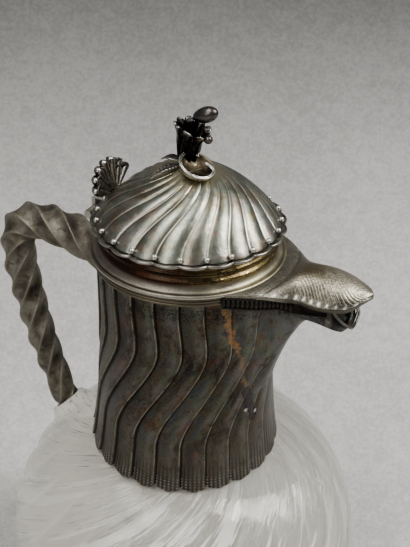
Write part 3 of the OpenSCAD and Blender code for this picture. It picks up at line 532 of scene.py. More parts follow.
pleat_steps = np.concatenate([[0, 0.012, 0.03, 0.06, 0.10], np.linspace(0.16, 0.86, 11),
                              [0.90, 0.925, 0.945, 0.96, 0.975, 0.988]])
share = (np.arange(lobes)[:, None] + pleat_steps).ravel()
heights = np.concatenate([np.linspace(0, 0.06, 12)[:-1], np.linspace(0.06, 0.4, 38)[:-1],
                          np.linspace(0.4, 1, 74)])
inside = np.concatenate([[1, 0.985], np.linspace(0.95, 0.05, 20), [0]])
made = ([collar_row(t, share, 1.0, 0) for t in heights]
        + [collar_row(t, share, 0, sheet_wall) for t in inside])
rows, on_spout = (np.array(part) for part in zip(*made))
on_outside = (np.arange(len(rows)) < len(heights))[:, None]
outer_share = on_outside * (1 - 0.35 * ease(on_spout * 1.4 - 0.3))
rusty_run = [(-40, 208), (-38.4, 203.7), (-35.8, 195.7), (-30.2, 186.9), (-25.5, 174.9), (-20.7, 163.9),
             (-18, 158)]
side_run = [(-42, 209), (-39.5, 199), (-34.5, 190)]
dark_drip = [(-22.5, 167), (-19.5, 160.5), (-17.5, 156), (-15, 151.5)]
first_fleck, second_fleck = [(-22.6, 157), (-22.4, 156.6)], [(-13, 153.4), (-12.8, 153)]
unturned = polar(np.hypot(rows[..., 0], rows[..., 1]), share[None] * 360 / lobes, rows[..., 2])
# Two of these marks are painted light: a sheen over the swell of each lobe, and shade in each valley and
# over the inside.
marks = {"laid": unturned * MM, "arris": bell(share % 1 - 0.935, 0.028) * outer_share,
         "sheen": bell(share % 1 - 0.66, 0.2) * on_outside,
         "soot": bell(off_valley(share), 0.045) * outer_share + ~on_outside,
         "rusty": trail(rows, rusty_run, 1.15) + trail(rows, side_run, 1.0) * 0.8,
         "drip": trail(rows, dark_drip, 2.0),
         "bright": trail(rows, first_fleck, 0.8) + trail(rows, second_fleck, 0.7)}
fit(skin("collar", rows, dark_silver, marks, loop=True), "root", "dark_silver", "neck_collar")

# ---- Lip wires -----------------------------------------------------------------------------
# Two drawn silver wires are soldered side by side round the pouring mouth, which stiffens its
# edge. Tarnish has turned them nearly black.

lip_wire_r, lip_sweep = 0.46, 8.3


def tube(name, path, radius, finish, sides=12):
    """A round wire along a path of points, with rounded ends."""
    ahead = unit(np.gradient(path, axis=0))
    side = np.cross(ahead[0], (0.31, 0.17, 0.93))
    frames = []
    for step in ahead:
        side = unit(side - step * (side @ step))
        frames.append((side, np.cross(step, side)))
    caps = [(0.0, 0.35), (0.5, 0.87)]
    low = [(path[0] - ahead[0] * radius * (1 - a) * 0.6, radius * b, frames[0]) for a, b in caps]
    high = [(path[-1] + ahead[-1] * radius * (1 - a) * 0.6, radius * b, frames[-1])
            for a, b in caps[::-1]]
    stations = low + [(p, radius, f) for p, f in zip(path, frames)] + high
    turn = np.linspace(0, 2 * np.pi, sides, endpoint=False)[:, None]
    rows = [p + r * (np.cos(turn) * f[0] + np.sin(turn) * f[1]) for p, r, f in stations]
    return skin(name, rows, finish)


def joined(name, pieces):
    """One object from several finished ones of the same finish."""
    whole = pieces[0]
    with bpy.context.temp_override(active_object=whole, selected_editable_objects=pieces,
                                   selected_objects=pieces, object=whole):
        bpy.ops.object.join()
    whole.name = whole.data.name = name
    return whole


def silver(name, light, dark, worn, roughness, size):
    """Polished silver that has dulled: light where rubbed, dark in patches, worn at its edges."""
    made, plan = new_finish(name)
    patches = plan.noise(size, 5, 0.62, warp=0.5)
    fine = plan.noise(0.7, 3, 0.7)
    edge = plan.band(plan.node("ShaderNodeNewGeometry", out="Pointiness"), 0.505, 0.56)
    tone = plan.layers(light, (plan.band(patches, 0.42, 0.64), dark),
                       (plan.band(fine, 0.62, 0.75) * 0.35, tuple(0.3 * c for c in dark)),
                       (edge * 0.7, worn))
    plan.silvered(tone, patches * 0.2 + fine * 0.1 + roughness,
                  plan.bump(fine, 0.05, plan.bump(patches, 0.1)))
    return made


wire_silver = silver("wire_silver", (0.050, 0.045, 0.040), (0.018, 0.016, 0.014), (0.20, 0.19, 0.165),
                     0.30, 3)
lips = []
for wire, (out, lift) in enumerate([(0.05, 0.35), (0.75, 0.0)]):
    a = np.linspace(-lip_sweep, lip_sweep, 120)
    q = mix(collar_r, spout_reach, beak(a)) + 0.45 + out
    drop = mix(sag_at(q, a), spout_depth, mouth_dip(a))
    lips.append(tube(f"lip_{wire}", polar(q, a, collar_top - drop + 0.45 + lift), lip_wire_r, wire_silver))
fit(joined("lip_wires", lips), "root", "bright_silver", "spout_lip_wire")

# ---- Reeded wires --------------------------------------------------------------------------
# Three fine drawn wires run round the collar under the flange, soldered on and left open where
# the spout begins. Brown tarnish sits between them.

reeds, reed_r, reed_ring_r, reed_top, reed_start, reed_sweep = 3, 0.58, 35.95, 213.6, 44, 272


def new_rule(name):
    """An empty shape tree with one way out, and a maker of its named inputs."""
    tree = bpy.data.node_groups.new(name, "GeometryNodeTree")
    tree.interface.new_socket("Geometry", in_out="OUTPUT", socket_type="NodeSocketGeometry")
    plan = Plan(tree)

    def size(label, kind="Float"):
        tree.interface.new_socket(label, in_out="INPUT", socket_type="NodeSocket" + kind)
        return plan.node("NodeGroupInput", out=label)
    return plan, size


def grown(name, plan, shape, finish, sizes):
    """Closes a shape tree, runs it with its sizes and gives the plain mesh object that it grew."""
    real = plan.node("GeometryNodeRealizeInstances", None, {0: shape})
    smooth = plan.node("GeometryNodeSetShadeSmooth", None, {0: real})
    dressed = plan.node("GeometryNodeSetMaterial", None, {0: smooth, "Material": finish})
    plan.node("NodeGroupOutput", None, {0: dressed})
    piece = placed(name, bpy.data.meshes.new(name))
    rule = piece.modifiers.new("rule", "NODES")
    rule.node_group = plan.tree
    for item in plan.tree.interface.items_tree:
        if item.in_out == "INPUT":
            rule[item.identifier] = sizes[item.name]
    graph = bpy.context.evaluated_depsgraph_get()
    mesh = bpy.data.meshes.new_from_object(piece.evaluated_get(graph), preserve_all_data_layers=True,
                                           depsgraph=graph)
    piece.modifiers.remove(rule)
    piece.data = mesh
    return piece


brown_silver = silver("brown_silver", (0.060, 0.046, 0.032), (0.016, 0.012, 0.010), (0.17, 0.145, 0.10),
                      0.26, 4)
plan, size = new_rule("reeded_wires")
start, sweep, ring_r, top_z, wire_r = (size(label) for label in (
    "Start", "Sweep", "Ring radius", "Top height", "Wire radius"))
arc = plan.node("GeometryNodeCurveArc", {"mode": "RADIUS"}, {
    "Resolution": 260, "Radius": ring_r, "Start Angle": start, "Sweep Angle": sweep})
levels = plan.node("GeometryNodeMeshLine", {"mode": "OFFSET", "count_mode": "TOTAL"}, {
    "Count": size("Wires", "Int"), "Offset": plan.point(z=wire_r * -2.05)})
raised_to = plan.node("GeometryNodeSetPosition", None, {0: levels, "Offset": plan.point(z=top_z)})
wound = plan.node("GeometryNodeCurveToMesh", None, {
    0: arc, 1: plan.node("GeometryNodeCurvePrimitiveCircle", None, {"Resolution": 10, "Radius": wire_r}),
    "Fill Caps": True})
stacked = plan.node("GeometryNodeInstanceOnPoints", None, {0: raised_to, "Instance": wound})
fit(grown("reeded_wires", plan, stacked, brown_silver, {
    "Start": math.radians(reed_start), "Sweep": math.radians(reed_sweep), "Wires": reeds,
    "Ring radius": reed_ring_r * MM, "Top height": reed_top * MM, "Wire radius": reed_r * MM}),
    "root", "dark_silver", "reeded_wire")

# ---- Spout bands ---------------------------------------------------------------------------
# A chased strip is soldered along each side of the spout, under the leaf: a row of upright
# gadroons between two thin fillets. Polish has caught only its high points.

band_h, band_from, band_to = 5, 9.2, 43.4
gadroons, gadroon_h, gadroon_w, gadroons_from, gadroons_to = 16, 1.65, 0.85, 14, 43


def spout_side(degrees, out, down):
    """A place on the spout's side: out from its edge, and a share of the band's height down."""
    q = mix(collar_r, spout_reach, beak(degrees)) + out
    drop = down * band_h * mix(0.8, 1, ease((np.abs(degrees) - lip_half) / 6))
    return polar(q, degrees, collar_top - sag_at(q, degrees) - drop)


black_silver = silver("black_silver", (0.014, 0.012, 0.011), (0.006, 0.005, 0.005), (0.038, 0.034, 0.028),
                      0.34, 3)
strips = []
outline = [(0.06, 0.99), (0.06, 0.03), (0.5, 0.02), (0.95, 0.06), (0.95, 0.15), (0.5, 0.2), (0.45, 0.82),
           (0.95, 0.86), (0.95, 0.96), (0.5, 1.0)]
for side, label in ((-1, "near"), (1, "far")):
    a = side * mix(band_from, band_to, np.linspace(0, 1, 110) ** 1.4)
    rows = np.stack([spout_side(a, out, down) for out, down in outline], 1)
    strips.append(skin(f"strip_{label}", rows, black_silver))
    track = bpy.data.curves.new("track", "CURVE")
    track.dimensions = "3D"
    spline = track.splines.new("POLY")
    path = spout_side(side * mix(gadroons_from, gadroons_to, np.linspace(0, 1, 90) ** 1.4), 0.5, 0.5) * MM
    spline.points.add(len(path) - 1)
    spline.points.foreach_set("co", np.hstack([path, np.ones((len(path), 1))]).astype(np.float32).ravel())
    holder = placed("track", track)
    plan, size = new_rule("gadroons")
    count, long, wide = size("Count", "Int"), size("Length"), size("Width")
    way = plan.node("GeometryNodeObjectInfo", None, {"Object": holder}, out="Geometry")
    spots = plan.node("GeometryNodeCurveToPoints", {"mode": "COUNT"}, {0: way, "Count": count})
    pearl = plan.node("GeometryNodeMeshUVSphere", None, {"Segments": 14, "Rings": 10, "Radius": 1.0})
    shape = plan.node("GeometryNodeTransform", None, {0: pearl, "Scale": plan.point(wide, wide, long)})
    row = plan.node("GeometryNodeInstanceOnPoints", None, {0: spots, "Instance": shape})
    fit(grown(f"gadroons_{label}", plan, row, black_silver, {
        "Count": gadroons, "Length": gadroon_h * MM, "Width": gadroon_w * MM}), "root", "dark_silver")
    bpy.data.objects.remove(holder)
fit(joined("band_strips", strips), "root", "dark_silver", "spout_bands")

# ---- Mouth ring ----------------------------------------------------------------------------
# A cast and turned ring closes the collar: a flange with a thick rolled lip, then a gilt wall in
# two hollow bands, and a bore for the lid. The gilding is worn and red in places, painted darker
# as shade on its left and front, and lit by painted gold glints on its right and back.

bore, wall_r, flange_z, mouth_top = 30, 34.5, 214.4, 225.6


def turned(name, outline, finish, columns):
    """A piece turned on the lathe: its closed outline of radius and height, swept round the axis."""
    outline = np.asarray(outline, float)
    rows = polar(outline[:, :1], np.linspace(0, 360, columns, endpoint=False)[None], outline[:, 1:])
    return skin(name, rows, finish, loop=True)


gilt, plan = new_finish("worn_gilding")
x, y, z = plan.parts(plan.place())
rub = plan.noise(7, 5, 0.65, warp=0.4)
fine = plan.noise(0.8, 4, 0.75)
# Painted light: along way the ring is darker and redder to the left and front as painted shade, and lighter
# with painted gold glints to the right and back.
way = x * 0.75 + y * 0.5 + (rub - 0.5) * 0.035
painted_gold_glints = plan.band(plan.noise(3, 3, where=plan.stretched(plan.place(), (1, 1, 4))), 0.60, 0.68)
flat = plan.blend(plan.band(way, -0.012, 0.024), plan.blend(rub, (0.15, 0.125, 0.10), (0.27, 0.245, 0.20)),
                  plan.blend(rub, (0.18, 0.16, 0.105), (0.50, 0.455, 0.31)))
tone = plan.layers(
    (0.15, 0.11, 0.045), (plan.band(way, 0.008, -0.010), (0.042, 0.016, 0.009)),
    (plan.band(rub, 0.48, 0.60) * 0.85, (0.030, 0.020, 0.013)),
    (painted_gold_glints * plan.band(way, -0.004, 0.010), (0.62, 0.47, 0.22)), (plan.band(z, 0.2186, 0.2172), flat),
    (plan.band(z, 0.2158, 0.2150) * 0.5, (0.66, 0.64, 0.58)),
    (plan.band(fine, 0.54, 0.72) * 0.6, (0.04, 0.032, 0.022)))
plan.silvered(tone, rub * 0.22 + fine * 0.14 + plan.band(z, 0.2190, 0.2172) * 0.14 + 0.07,
              plan.bump(fine, 0.08, plan.bump(rub, 0.2)))

roll = np.radians(np.linspace(-80, 100, 13))
hollow = np.linspace(0, 1, 12)
outline = np.vstack([
    [[bore, flange_z], [flange_r - 1.2, flange_z]],
    np.stack([flange_r - 0.75 + 0.75 * np.cos(roll), flange_z + 0.78 + 0.75 * np.sin(roll)], -1),
    [[flange_r - 1.3, flange_z + 1.35]],
    np.stack([mix(flange_r - 1.5, wall_r - 0.3, np.sin(np.radians(90 * hollow))),
              flange_z + mix(4.6, 1.3, np.cos(np.radians(90 * hollow)))], -1),
    [[wall_r - 0.05, flange_z + 4.8], [wall_r, flange_z + 5.05], [wall_r - 0.1, flange_z + 5.3]],
    np.stack([wall_r - 0.35 - 0.75 * np.sin(np.pi * hollow), flange_z + mix(5.5, 8.0, hollow)], -1),
    [[wall_r - 0.1, flange_z + 8.2], [wall_r - 0.1, flange_z + 8.5]],
    np.stack([wall_r - 0.35 - 0.5 * np.sin(np.pi * hollow), flange_z + mix(8.7, 10.5, hollow)], -1),
    [[wall_r - 0.1, mouth_top - 0.5], [wall_r - 0.3, mouth_top], [bore + 1.4, mouth_top],
     [bore + 1, mouth_top - 0.15], [bore, mouth_top - 2.6]]])
fit(turned("mouth_mount", outline, gilt, 256), "root", "gilt", "mouth_ring")

# ---- Spout leaf ----------------------------------------------------------------------------
# A shell-like leaf, cast and chased, is soldered to the flange and covers the spout. Its crown is
# swollen, veins run out to its edges, and its ground is matted with fine punch marks.

leaf_crown, leaf_wall, vein_depth, hem_depth, edge_bead = 4.6, 1.2, 0.2, 0.12, 0.2
leaf_long, leaf_wide, dots_along, dot_r = 35, 13, 13, 0.42


def leaf_half(s):
    """Half the leaf's width at the share s of its length."""
    flare = 12 * np.maximum(0, 1 - s / 0.4) ** 1.8
    waist = 1.2 * np.sin(np.pi * np.minimum(1, s / 0.62)) ** 2
    return (13.7 + flare - waist) * (1 - (s * 0.999) ** 6.5)


def leaf_point(s, v, drop):
    """A place on the leaf: s along it from flange to tip, v across it from -1 to 1."""
    y = leaf_half(s) * v
    root = np.sqrt((flange_r + 0.05) ** 2 - y * y)
    crown = leaf_crown * np.sin(np.pi * np.clip((s - 0.13) / 0.87, 0, 1) ** 0.72) ** 0.8
    swell = crown * (1 - np.abs(v) ** 2.3) + edge_drop(s) * (1 - v * v)
    return np.stack([mix(root, leaf_reach, s), y, flange_z + leaf_wall + swell - edge_drop(s) - drop], -1)


leaf_silver, plan = new_finish("chased_leaf")
vein, along, aside, dots = (plan.mark(name) for name in ("vein", "along", "aside", "dots"))
punch = plan.node("ShaderNodeTexVoronoi", None, {"Vector": plan.place(), "Scale": 1300.0})
rub = plan.noise(6, 5, 0.65, warp=0.5)
fine = plan.noise(0.7, 4, 0.75)
flat = plan.band(along, 0.30, 0.20)
crest = plan.band(aside * aside, 0.25, 0.03) * plan.band(along + (rub - 0.5) * 0.5, 0.66, 0.40)
tone = plan.layers(
    (0.54, 0.50, 0.385), (plan.band(aside + (rub - 0.5) * 0.8, -0.40, -0.85), (0.105, 0.098, 0.076)),
    (crest * 0.85, (0.17, 0.122, 0.060)), (flat, plan.blend(rub, (0.14, 0.13, 0.10), (0.32, 0.30, 0.245))),
    (plan.band(along, 0.78, 0.95) * 0.45, (0.19, 0.18, 0.15)),
    (plan.band(punch, 0.45, 0.12) * (flat * 0.5 + 0.2), (0.05, 0.04, 0.03)),
    (plan.band(fine, 0.54, 0.70) * 0.55, (0.06, 0.052, 0.04)), (vein * 0.85, (0.035, 0.03, 0.024)),
    (dots, (0.88, 0.86, 0.80)))
plan.silvered(tone, rub * 0.2 + punch * 0.14 + flat * 0.1 + 0.22,
              plan.bump(rub, 0.14, plan.bump(punch, 0.07)))


def two_faced(over, under):
    """Rings that run across the top of a thin piece and back along its underside."""
    return np.concatenate([over, under[:, ::-1]], 1)


s = np.linspace(0, 1, 190)[:, None]
v = np.linspace(-1, 1, 121)[None]
stroke = (26 * s - 9 * np.abs(v) + 0.25 * np.sin(9 * s + 5 * v)) % 1
vein_mark = (bell(stroke - 0.5, 0.13) * ease((-v - 0.22 - 0.18 * np.sin(17 * s)) / 0.2)
             * ease((s - 0.27) / 0.12) * ease((0.97 - s) / 0.08) * ease((0.90 + v) / 0.06))
hem = bell((14 * np.abs(v) + 3 * s) % 1 - 0.5, 0.2) * ease((v - 0.55) / 0.1) * ease((s - 0.45) / 0.1) * 0.7
edge_roll = bell(1 - np.abs(v), 0.03)
dot_mark = (bell(((dots_along * s) % 1 - 0.5) * leaf_long / dots_along, dot_r)
            * bell((np.abs(v) - 0.93) * leaf_wide, dot_r) * (s > 0.12))
over = leaf_point(s, v, 0)
over[..., 2] += edge_bead * edge_roll * ease(s / 0.1) - vein_depth * vein_mark - hem_depth * hem
marks = {"vein": two_faced(np.clip(vein_mark + hem * 0.6, 0, 1), vein_mark * 0),
         "dots": two_faced(dot_mark, dot_mark * 0), "along": two_faced(s + 0 * v, s + 0 * v),
         "aside": two_faced(v + 0 * s, v + 0 * s)}
fit(skin("spout_leaf_chased", two_faced(over, leaf_point(s, v, leaf_wall)), leaf_silver, marks),
    "root", "bright_silver", "spout_leaf")

# ---- Handle --------------------------------------------------------------------------------
# The handle is a hollow silver tube, raised with five ridges and twisted like a rope. It springs
# from the collar's top and ends on the glass lug, where cement holds it.

handle_r, handle_foot_r, handle_wall, handle_reach, handle_arch, twist_pitch = 8.8, 6.0, 0.9, 47.2, 6, 63
rope_ridges, rope_steps, ridge_cut, handle_sway, foot_run = 5, 24, 0.22, 2.2, 16
root_z = collar_top - handle_r - 0.85 * 4.6
bend = np.array([[0, 0], [0.18, 0.42], [0.39, 0.8], [0.6, 1], [0.81, 0.93], [0.96, 0.15], [1.01, -1.3],
                 [1, -3]])
bend = np.array([-collar_r - 0.05, root_z]) + bend * [-handle_reach, handle_arch]
handle_foot = (landing + way_out * lug_h)[[0, 2]]
run = [mix(bend[-1], handle_foot, t) + [-handle_sway * math.sin(math.pi * t), 0]
       for t in (0.16, 0.34, 0.52, 0.7, 0.86, 1)]


def through(points, per):
    """A smooth line through points, with per steps between each two."""
    held = np.vstack([points[0], points, points[-1]])
    line = []
    for a, b, c, d in zip(held, held[1:], held[2:], held[3:]):
        t = np.linspace(0, 1, per, endpoint=False)[:, None]
        line.append(0.5 * (2 * b + (c - a) * t + (2 * a - 5 * b + 4 * c - d) * t ** 2
                           + (3 * b - a - 3 * c + d) * t ** 3))
    return np.vstack(line + [points[-1:]])


def mid_plane(pair):
    """A place or a way in the plane of the handle and the spout, from its X and Z."""
    return np.array([pair[0], 0, pair[1]])


handle_line = through(np.vstack([bend, run]), 28)
steps = np.linalg.norm(np.diff(handle_line, axis=0), axis=1)
run_s = np.concatenate([[0], np.cumsum(steps)])
length = run_s[-1]
heading = unit(np.gradient(handle_line, axis=0))


def handle_row(k, inset):
    """A ring of the handle at a step of its line, on its outside or round its bore, and its ridges."""
    share = np.arange(rope_ridges * rope_steps) / rope_steps
    ahead, side = mid_plane(heading[k]), mid_plane((heading[k][1], -heading[k][0]))
    r = mix(handle_r, handle_foot_r, run_s[k] / length)
    f = np.radians(share * 360 / rope_ridges + 360 * run_s[k] / twist_pitch)
    q = r * (1 - ridge_cut * np.sin(np.pi * (share % 1)) ** 0.8)
    if inset:
        q = np.full(len(share), r * (1 - ridge_cut) - handle_wall)
    p = mid_plane(handle_line[k]) + np.outer(q * np.cos(f), side) + np.outer(q * np.sin(f), (0, 1, 0))
    lean = ease(1 - (length - run_s[k]) / foot_run)
    p = p + np.outer(((mid_plane(handle_foot) - p) @ way_out + 0.1) / (ahead @ way_out) * lean, ahead)
    if k == 0:
        p[:, 0] = -np.sqrt((collar_r + 0.1) ** 2 - p[:, 1] ** 2)
    return p, bell(off_valley(share), 0.09) * (not inset)


rope_silver, plan = new_finish("rope_silver")
cloud = plan.noise(9, 5, 0.6, warp=0.5)
speck = plan.noise(0.9, 3, 0.7)
tone = plan.layers(
    plan.ramp(cloud, (0.36, (0.070, 0.060, 0.048)), (0.46, (0.135, 0.120, 0.096)),
              (0.54, (0.190, 0.176, 0.143)), (0.66, (0.27, 0.255, 0.214))),
    (plan.band(plan.noise(3.5, 3), 0.60, 0.70) * 0.65, (0.13, 0.115, 0.035)),
    (plan.band(plan.noise(4.6, 3, warp=0.8), 0.60, 0.70) * 0.7, (0.070, 0.030, 0.018)),
    (plan.mark("ridge") * 0.55, (0.34, 0.31, 0.25)),
    (plan.band(speck, 0.60, 0.72) * 0.45, (0.03, 0.022, 0.018)))
plan.silvered(tone, cloud * 0.26 + speck * 0.16 + 0.38,
              plan.bump(speck, 0.07, plan.bump(plan.noise(4, 3), 0.35)))

last = len(handle_line) - 1
made = ([handle_row(k, False) for k in range(last + 1)]
        + [handle_row(k, True) for k in [*range(last, 0, -6), 0]])
rows, ridges = (np.array(part) for part in zip(*made))
fit(skin("rope_handle", rows, rope_silver, {"ridge": ridges}, loop=True), "root", "dark_silver", "handle")

# ---- Hinge ---------------------------------------------------------------------------------
# Two knuckles on a web are soldered behind the mouth ring, one knuckle on a leaf behind the lid's
# rim, and a hard silver pin with riveted heads runs through all three.

hinge_silver = silver("hinge_silver", (0.20, 0.185, 0.16), (0.08, 0.070, 0.058), (0.5, 0.48, 0.43), 0.28, 4)
refinish(hinge_silver, "hinge_bracket", "hinge_pin", "lid_hinge_leaf")

# ---- Lid's bezel and rim -------------------------------------------------------------------
# The gilt bezel drops into the mouth. The rim is a flat silver wire with 24 shallow scallops,
# rounded at its edge, soldered round the bezel's top.

rim_z, rim_r, rim_scallop, bezel_r, bezel_h = 225.9, 36, 1.2, 29.5, 5.6
bezel_low = rim_z - bezel_h
outline = [[bezel_r - 1, bezel_low + 0.4], [bezel_r - 0.8, bezel_low], [bezel_r - 0.3, bezel_low],
           [bezel_r, bezel_low + 0.4], [bezel_r, rim_z + 1.1], [bezel_r - 0.2, rim_z + 1.2],
           [bezel_r - 1, rim_z + 1.2]]
fit(turned("gilt_bezel", outline, gilt, 160), "lid", "gilt", "lid_bezel")

rim_silver = silver("rim_silver", (0.19, 0.175, 0.15), (0.075, 0.065, 0.055), (0.55, 0.53, 0.47), 0.16, 4)
share = np.arange(lobes * 16) / 16
edge = rim_r + rim_scallop * np.sin(np.pi * (share % 1)) ** 0.8
turn = share * 360 / lobes + lobe_phase
bulge = np.radians(np.linspace(-90, 90, 11))
rows = [polar(bezel_r + 0.1, turn, rim_z), polar(edge - 2.0, turn, rim_z)]
rows += [polar(edge - 0.6 + 0.6 * math.cos(b), turn, rim_z + 0.6 + 0.6 * math.sin(b)) for b in bulge]
rows += [polar(edge - 1.2, turn, rim_z + 1.05), polar(edge - 2.4, turn, rim_z + 1.1),
         polar(bezel_r + 0.1, turn, rim_z + 1.15)]
fit(skin("scalloped_rim", rows, rim_silver, loop=True), "lid", "bright_silver", "lid_rim")

# ---- Dome ----------------------------------------------------------------------------------
# The dome is raised from silver sheet with 24 puffed lobes that swirl from the crown to the rim.
# Their arrises are polished bright; thin rainbow tarnish and grey patches lie between them.

dome_r, dome_z, dome_h, dome_full, hole_r = 35.4, 227.15, 22, 1.85, 2.2
dome_flute, dome_wall, dome_swirl = 1.05, 2.6, 55

dome_silver, plan = new_finish("dome_silver")
x, y, _ = plan.parts(plan.place())
laid, arris = plan.mark("laid", True), plan.mark("arris")
smoke = plan.noise(11, 5, 0.62, laid, 0.5)
fine = plan.noise(0.8, 4, 0.75)
hue = plan.noise(8, 3, 0.5, plan.stretched(laid, (1, 1, 1.2)), 0.3)
tone = plan.blend(0.75, plan.ramp(
    smoke, (0.30, (0.17, 0.158, 0.125)), (0.44, (0.23, 0.22, 0.178)), (0.56, (0.33, 0.32, 0.275)),
    (0.70, (0.48, 0.465, 0.42))), plan.ramp(
        hue, (0.34, (1.10, 0.90, 0.68)), (0.44, (1.03, 0.92, 0.92)), (0.52, (0.84, 0.98, 0.98)),
        (0.60, (0.90, 1.0, 0.92)), (0.68, (1.08, 0.98, 0.74))), "MULTIPLY")
shaded = plan.band(x * 0.8 - y * 0.3, 0.016, -0.016)
warm = plan.band(x * x + y * y, 0.00026, 0.00006)
tone = plan.layers(
    tone, (plan.band(fine, 0.50, 0.66) * (shaded * 0.45 + 0.35), (0.06, 0.055, 0.042)),
    (shaded * 0.3, (0.14, 0.128, 0.095)), (warm * 0.6, (0.62, 0.54, 0.31)),
    # Painted shade: a dark line beside each arris.
    (plan.mark("soot") * 0.7, (0.06, 0.053, 0.044)),
    (arris * plan.band(smoke, 0.25, 0.5) * 0.85, (0.62, 0.57, 0.46)))
plan.silvered(tone, smoke * 0.10 + fine * 0.14 + 0.19,
              plan.bump(fine, 0.06, plan.bump(plan.noise(3, 3), 0.14)))

plan, size = new_rule("swirled_dome")
radius, rise_h, foot_at, hole, flute, swirl, wall = (size(label) for label in (
    "Radius", "Rise", "Foot height", "Hole", "Flute", "Swirl", "Wall"))
lobe_n, per, rings = (size(label, "Int") for label in ("Lobes", "Columns per lobe", "Rings"))
# A flat grid is rolled up. Its columns go round the dome, and its rows run from the rim to the crown
# and then, for their last fifth, back down the inside.
grid = plan.node("GeometryNodeMeshGrid", None, {
    "Size X": 1.0, "Size Y": 1.0, "Vertices X": lobe_n * per + 1.0, "Vertices Y": rings})
col, row, _ = plan.parts(plan.node("GeometryNodeInputPosition"))
col, row = col + 0.5, (row + 0.5) * 1.25
inside = row.calc("GREATER_THAN", 1.0)
t = row.calc("MINIMUM", 1.0) * (1 - inside) + (1 - (row - 1) / 0.25) * inside
span = 1 - (1 - hole / radius) * t ** 1.15
lobe_share = (col * lobe_n) % 1.0
round_turn = col * (2 * math.pi)
turn = swirl * (1 - smooth(span)) + round_turn + math.pi / lobe_n
puff = (lobe_share * math.pi).calc("SINE").calc("MAXIMUM", 0.0001) ** (0.45 + span * 0.25)
fade = smooth((span * 1.6).calc("MINIMUM", 1.0))
r = span * radius - (1 - puff) * flute * fade * (1 - inside) - wall * inside * span ** 0.5
lift = (1 - span ** dome_full).calc("MAXIMUM", 0.0) ** 0.9 * rise_h
high = foot_at + (lift - wall * 0.75 * inside).calc("MAXIMUM", 0.0)


def line_between(off, wide):
    """1 on a line along each lobe and 0 away from it, on the outside alone."""
    near = off / wide
    return (near * near * -1).calc("EXPONENT") * (1 - inside) * fade


def rolled(angle):
    return plan.point(angle.calc("COSINE") * r, angle.calc("SINE") * r, high)


made = grid
for label, kind, value in (
        ("arris", "FLOAT", line_between(lobe_share.calc("MINIMUM", 1 - lobe_share), 0.055)),
        # The second line runs beside each arris and carries painted shade.
        ("soot", "FLOAT", line_between(lobe_share - 0.09, 0.045)),
        ("laid", "FLOAT_VECTOR", rolled(round_turn))):
    made = plan.node("GeometryNodeStoreNamedAttribute", {"data_type": kind, "domain": "POINT"}, {
        0: made, "Name": label, "Value": value})
made = plan.node("GeometryNodeSetPosition", None, {0: made, "Position": rolled(turn)})
made = plan.node("GeometryNodeMergeByDistance", None, {0: made, "Distance": 0.000004})
fit(grown("swirled_dome", plan, made, dome_silver, {
    "Radius": (dome_r - 0.2) * MM, "Rise": dome_h * MM, "Foot height": dome_z * MM, "Hole": hole_r * MM,
    "Flute": dome_flute * MM, "Swirl": math.radians(dome_swirl), "Wall": dome_wall * MM, "Lobes": lobes,
    "Columns per lobe": 24, "Rings": 126}), "lid", "bright_silver", "lid_dome")

# ---- Beads ---------------------------------------------------------------------------------
# A small cast silver bead is soldered in each notch of the rim, at the end of each arris. The
# beads stand proud, so that every polishing has reached them and left them bright.

bead_r, bead_ring_r, bead_z = 1.05, 34.6, 228.6
plan, size = new_rule("rim_beads")
ring = plan.node("GeometryNodeMeshCircle", None, {
    "Vertices": size("Count", "Int"), "Radius": size("Ring radius")})
ring = plan.node("GeometryNodeTransform", None, {
    0: ring, "Translation": plan.point(z=size("Height")), "Rotation": (0, 0, math.radians(lobe_phase))})
pearl = plan.node("GeometryNodeMeshUVSphere", None, {
    "Segments": 20, "Rings": 14, "Radius": size("Bead radius")})
beads = plan.node("GeometryNodeInstanceOnPoints", None, {0: ring, "Instance": pearl})
bead_silver = silver("bead_silver", (0.42, 0.40, 0.36), (0.14, 0.125, 0.105), (0.85, 0.83, 0.77), 0.12, 2)
fit(grown("rim_beads", plan, beads, bead_silver, {
    "Count": lobes, "Ring radius": bead_ring_r * MM, "Height": bead_z * MM, "Bead radius": bead_r * MM}),
    "lid", "bright_silver", "lid_beads")

# ---- Thumbpiece ----------------------------------------------------------------------------
# A cast scallop shell with seven ribs stands on an arched foot behind the dome, soldered to the
# hinge leaf. Each rib ends in a small pearl, and the grooves between the ribs are darker.

thumb_silver, plan = new_finish("shell_silver")
cloud = plan.noise(4, 4)
tone = plan.layers((0.28, 0.265, 0.24), (plan.band(cloud, 0.4, 0.65), (0.13, 0.12, 0.10)),
                   (plan.mark("pearl"), (0.66, 0.645, 0.60)), (plan.mark("groove"), (0.010, 0.009, 0.008)))
plan.silvered(tone, cloud * 0.2 + 0.14, plan.bump(plan.noise(0.8, 3, 0.7), 0.05))

shell_w, shell_h, shell_fan, shell_slant, shell_ribs, shell_belly, pearl_r = 22.5, 13.5, 62, 9, 7, 2.4, 1.1
thumb_x, thumb_z, thumb_foot_thick = dome_r - 3.1, dome_z + 2.0, 0.75
lean = math.radians(4)


def shell_point(s, f, rib, side):
    """A place on the shell: s from its foot to its edge, f across its fan, side 1 in front, -1 behind."""
    reach = shell_h * mix(1, 0.86, f * f)
    wide = shell_w / 2 / (shell_h * 0.86 * math.sin(math.radians(shell_fan)))
    way = np.radians(shell_fan * f - shell_slant)
    x = side * (0.35 + rib * s) - shell_belly * (1 - f * f) * s
    z = s * reach * np.cos(way)
    return np.stack([x * math.cos(lean) - z * math.sin(lean) - thumb_x, s * reach * np.sin(way) * wide,
                     x * math.sin(lean) + z * math.cos(lean) + thumb_z], -1)


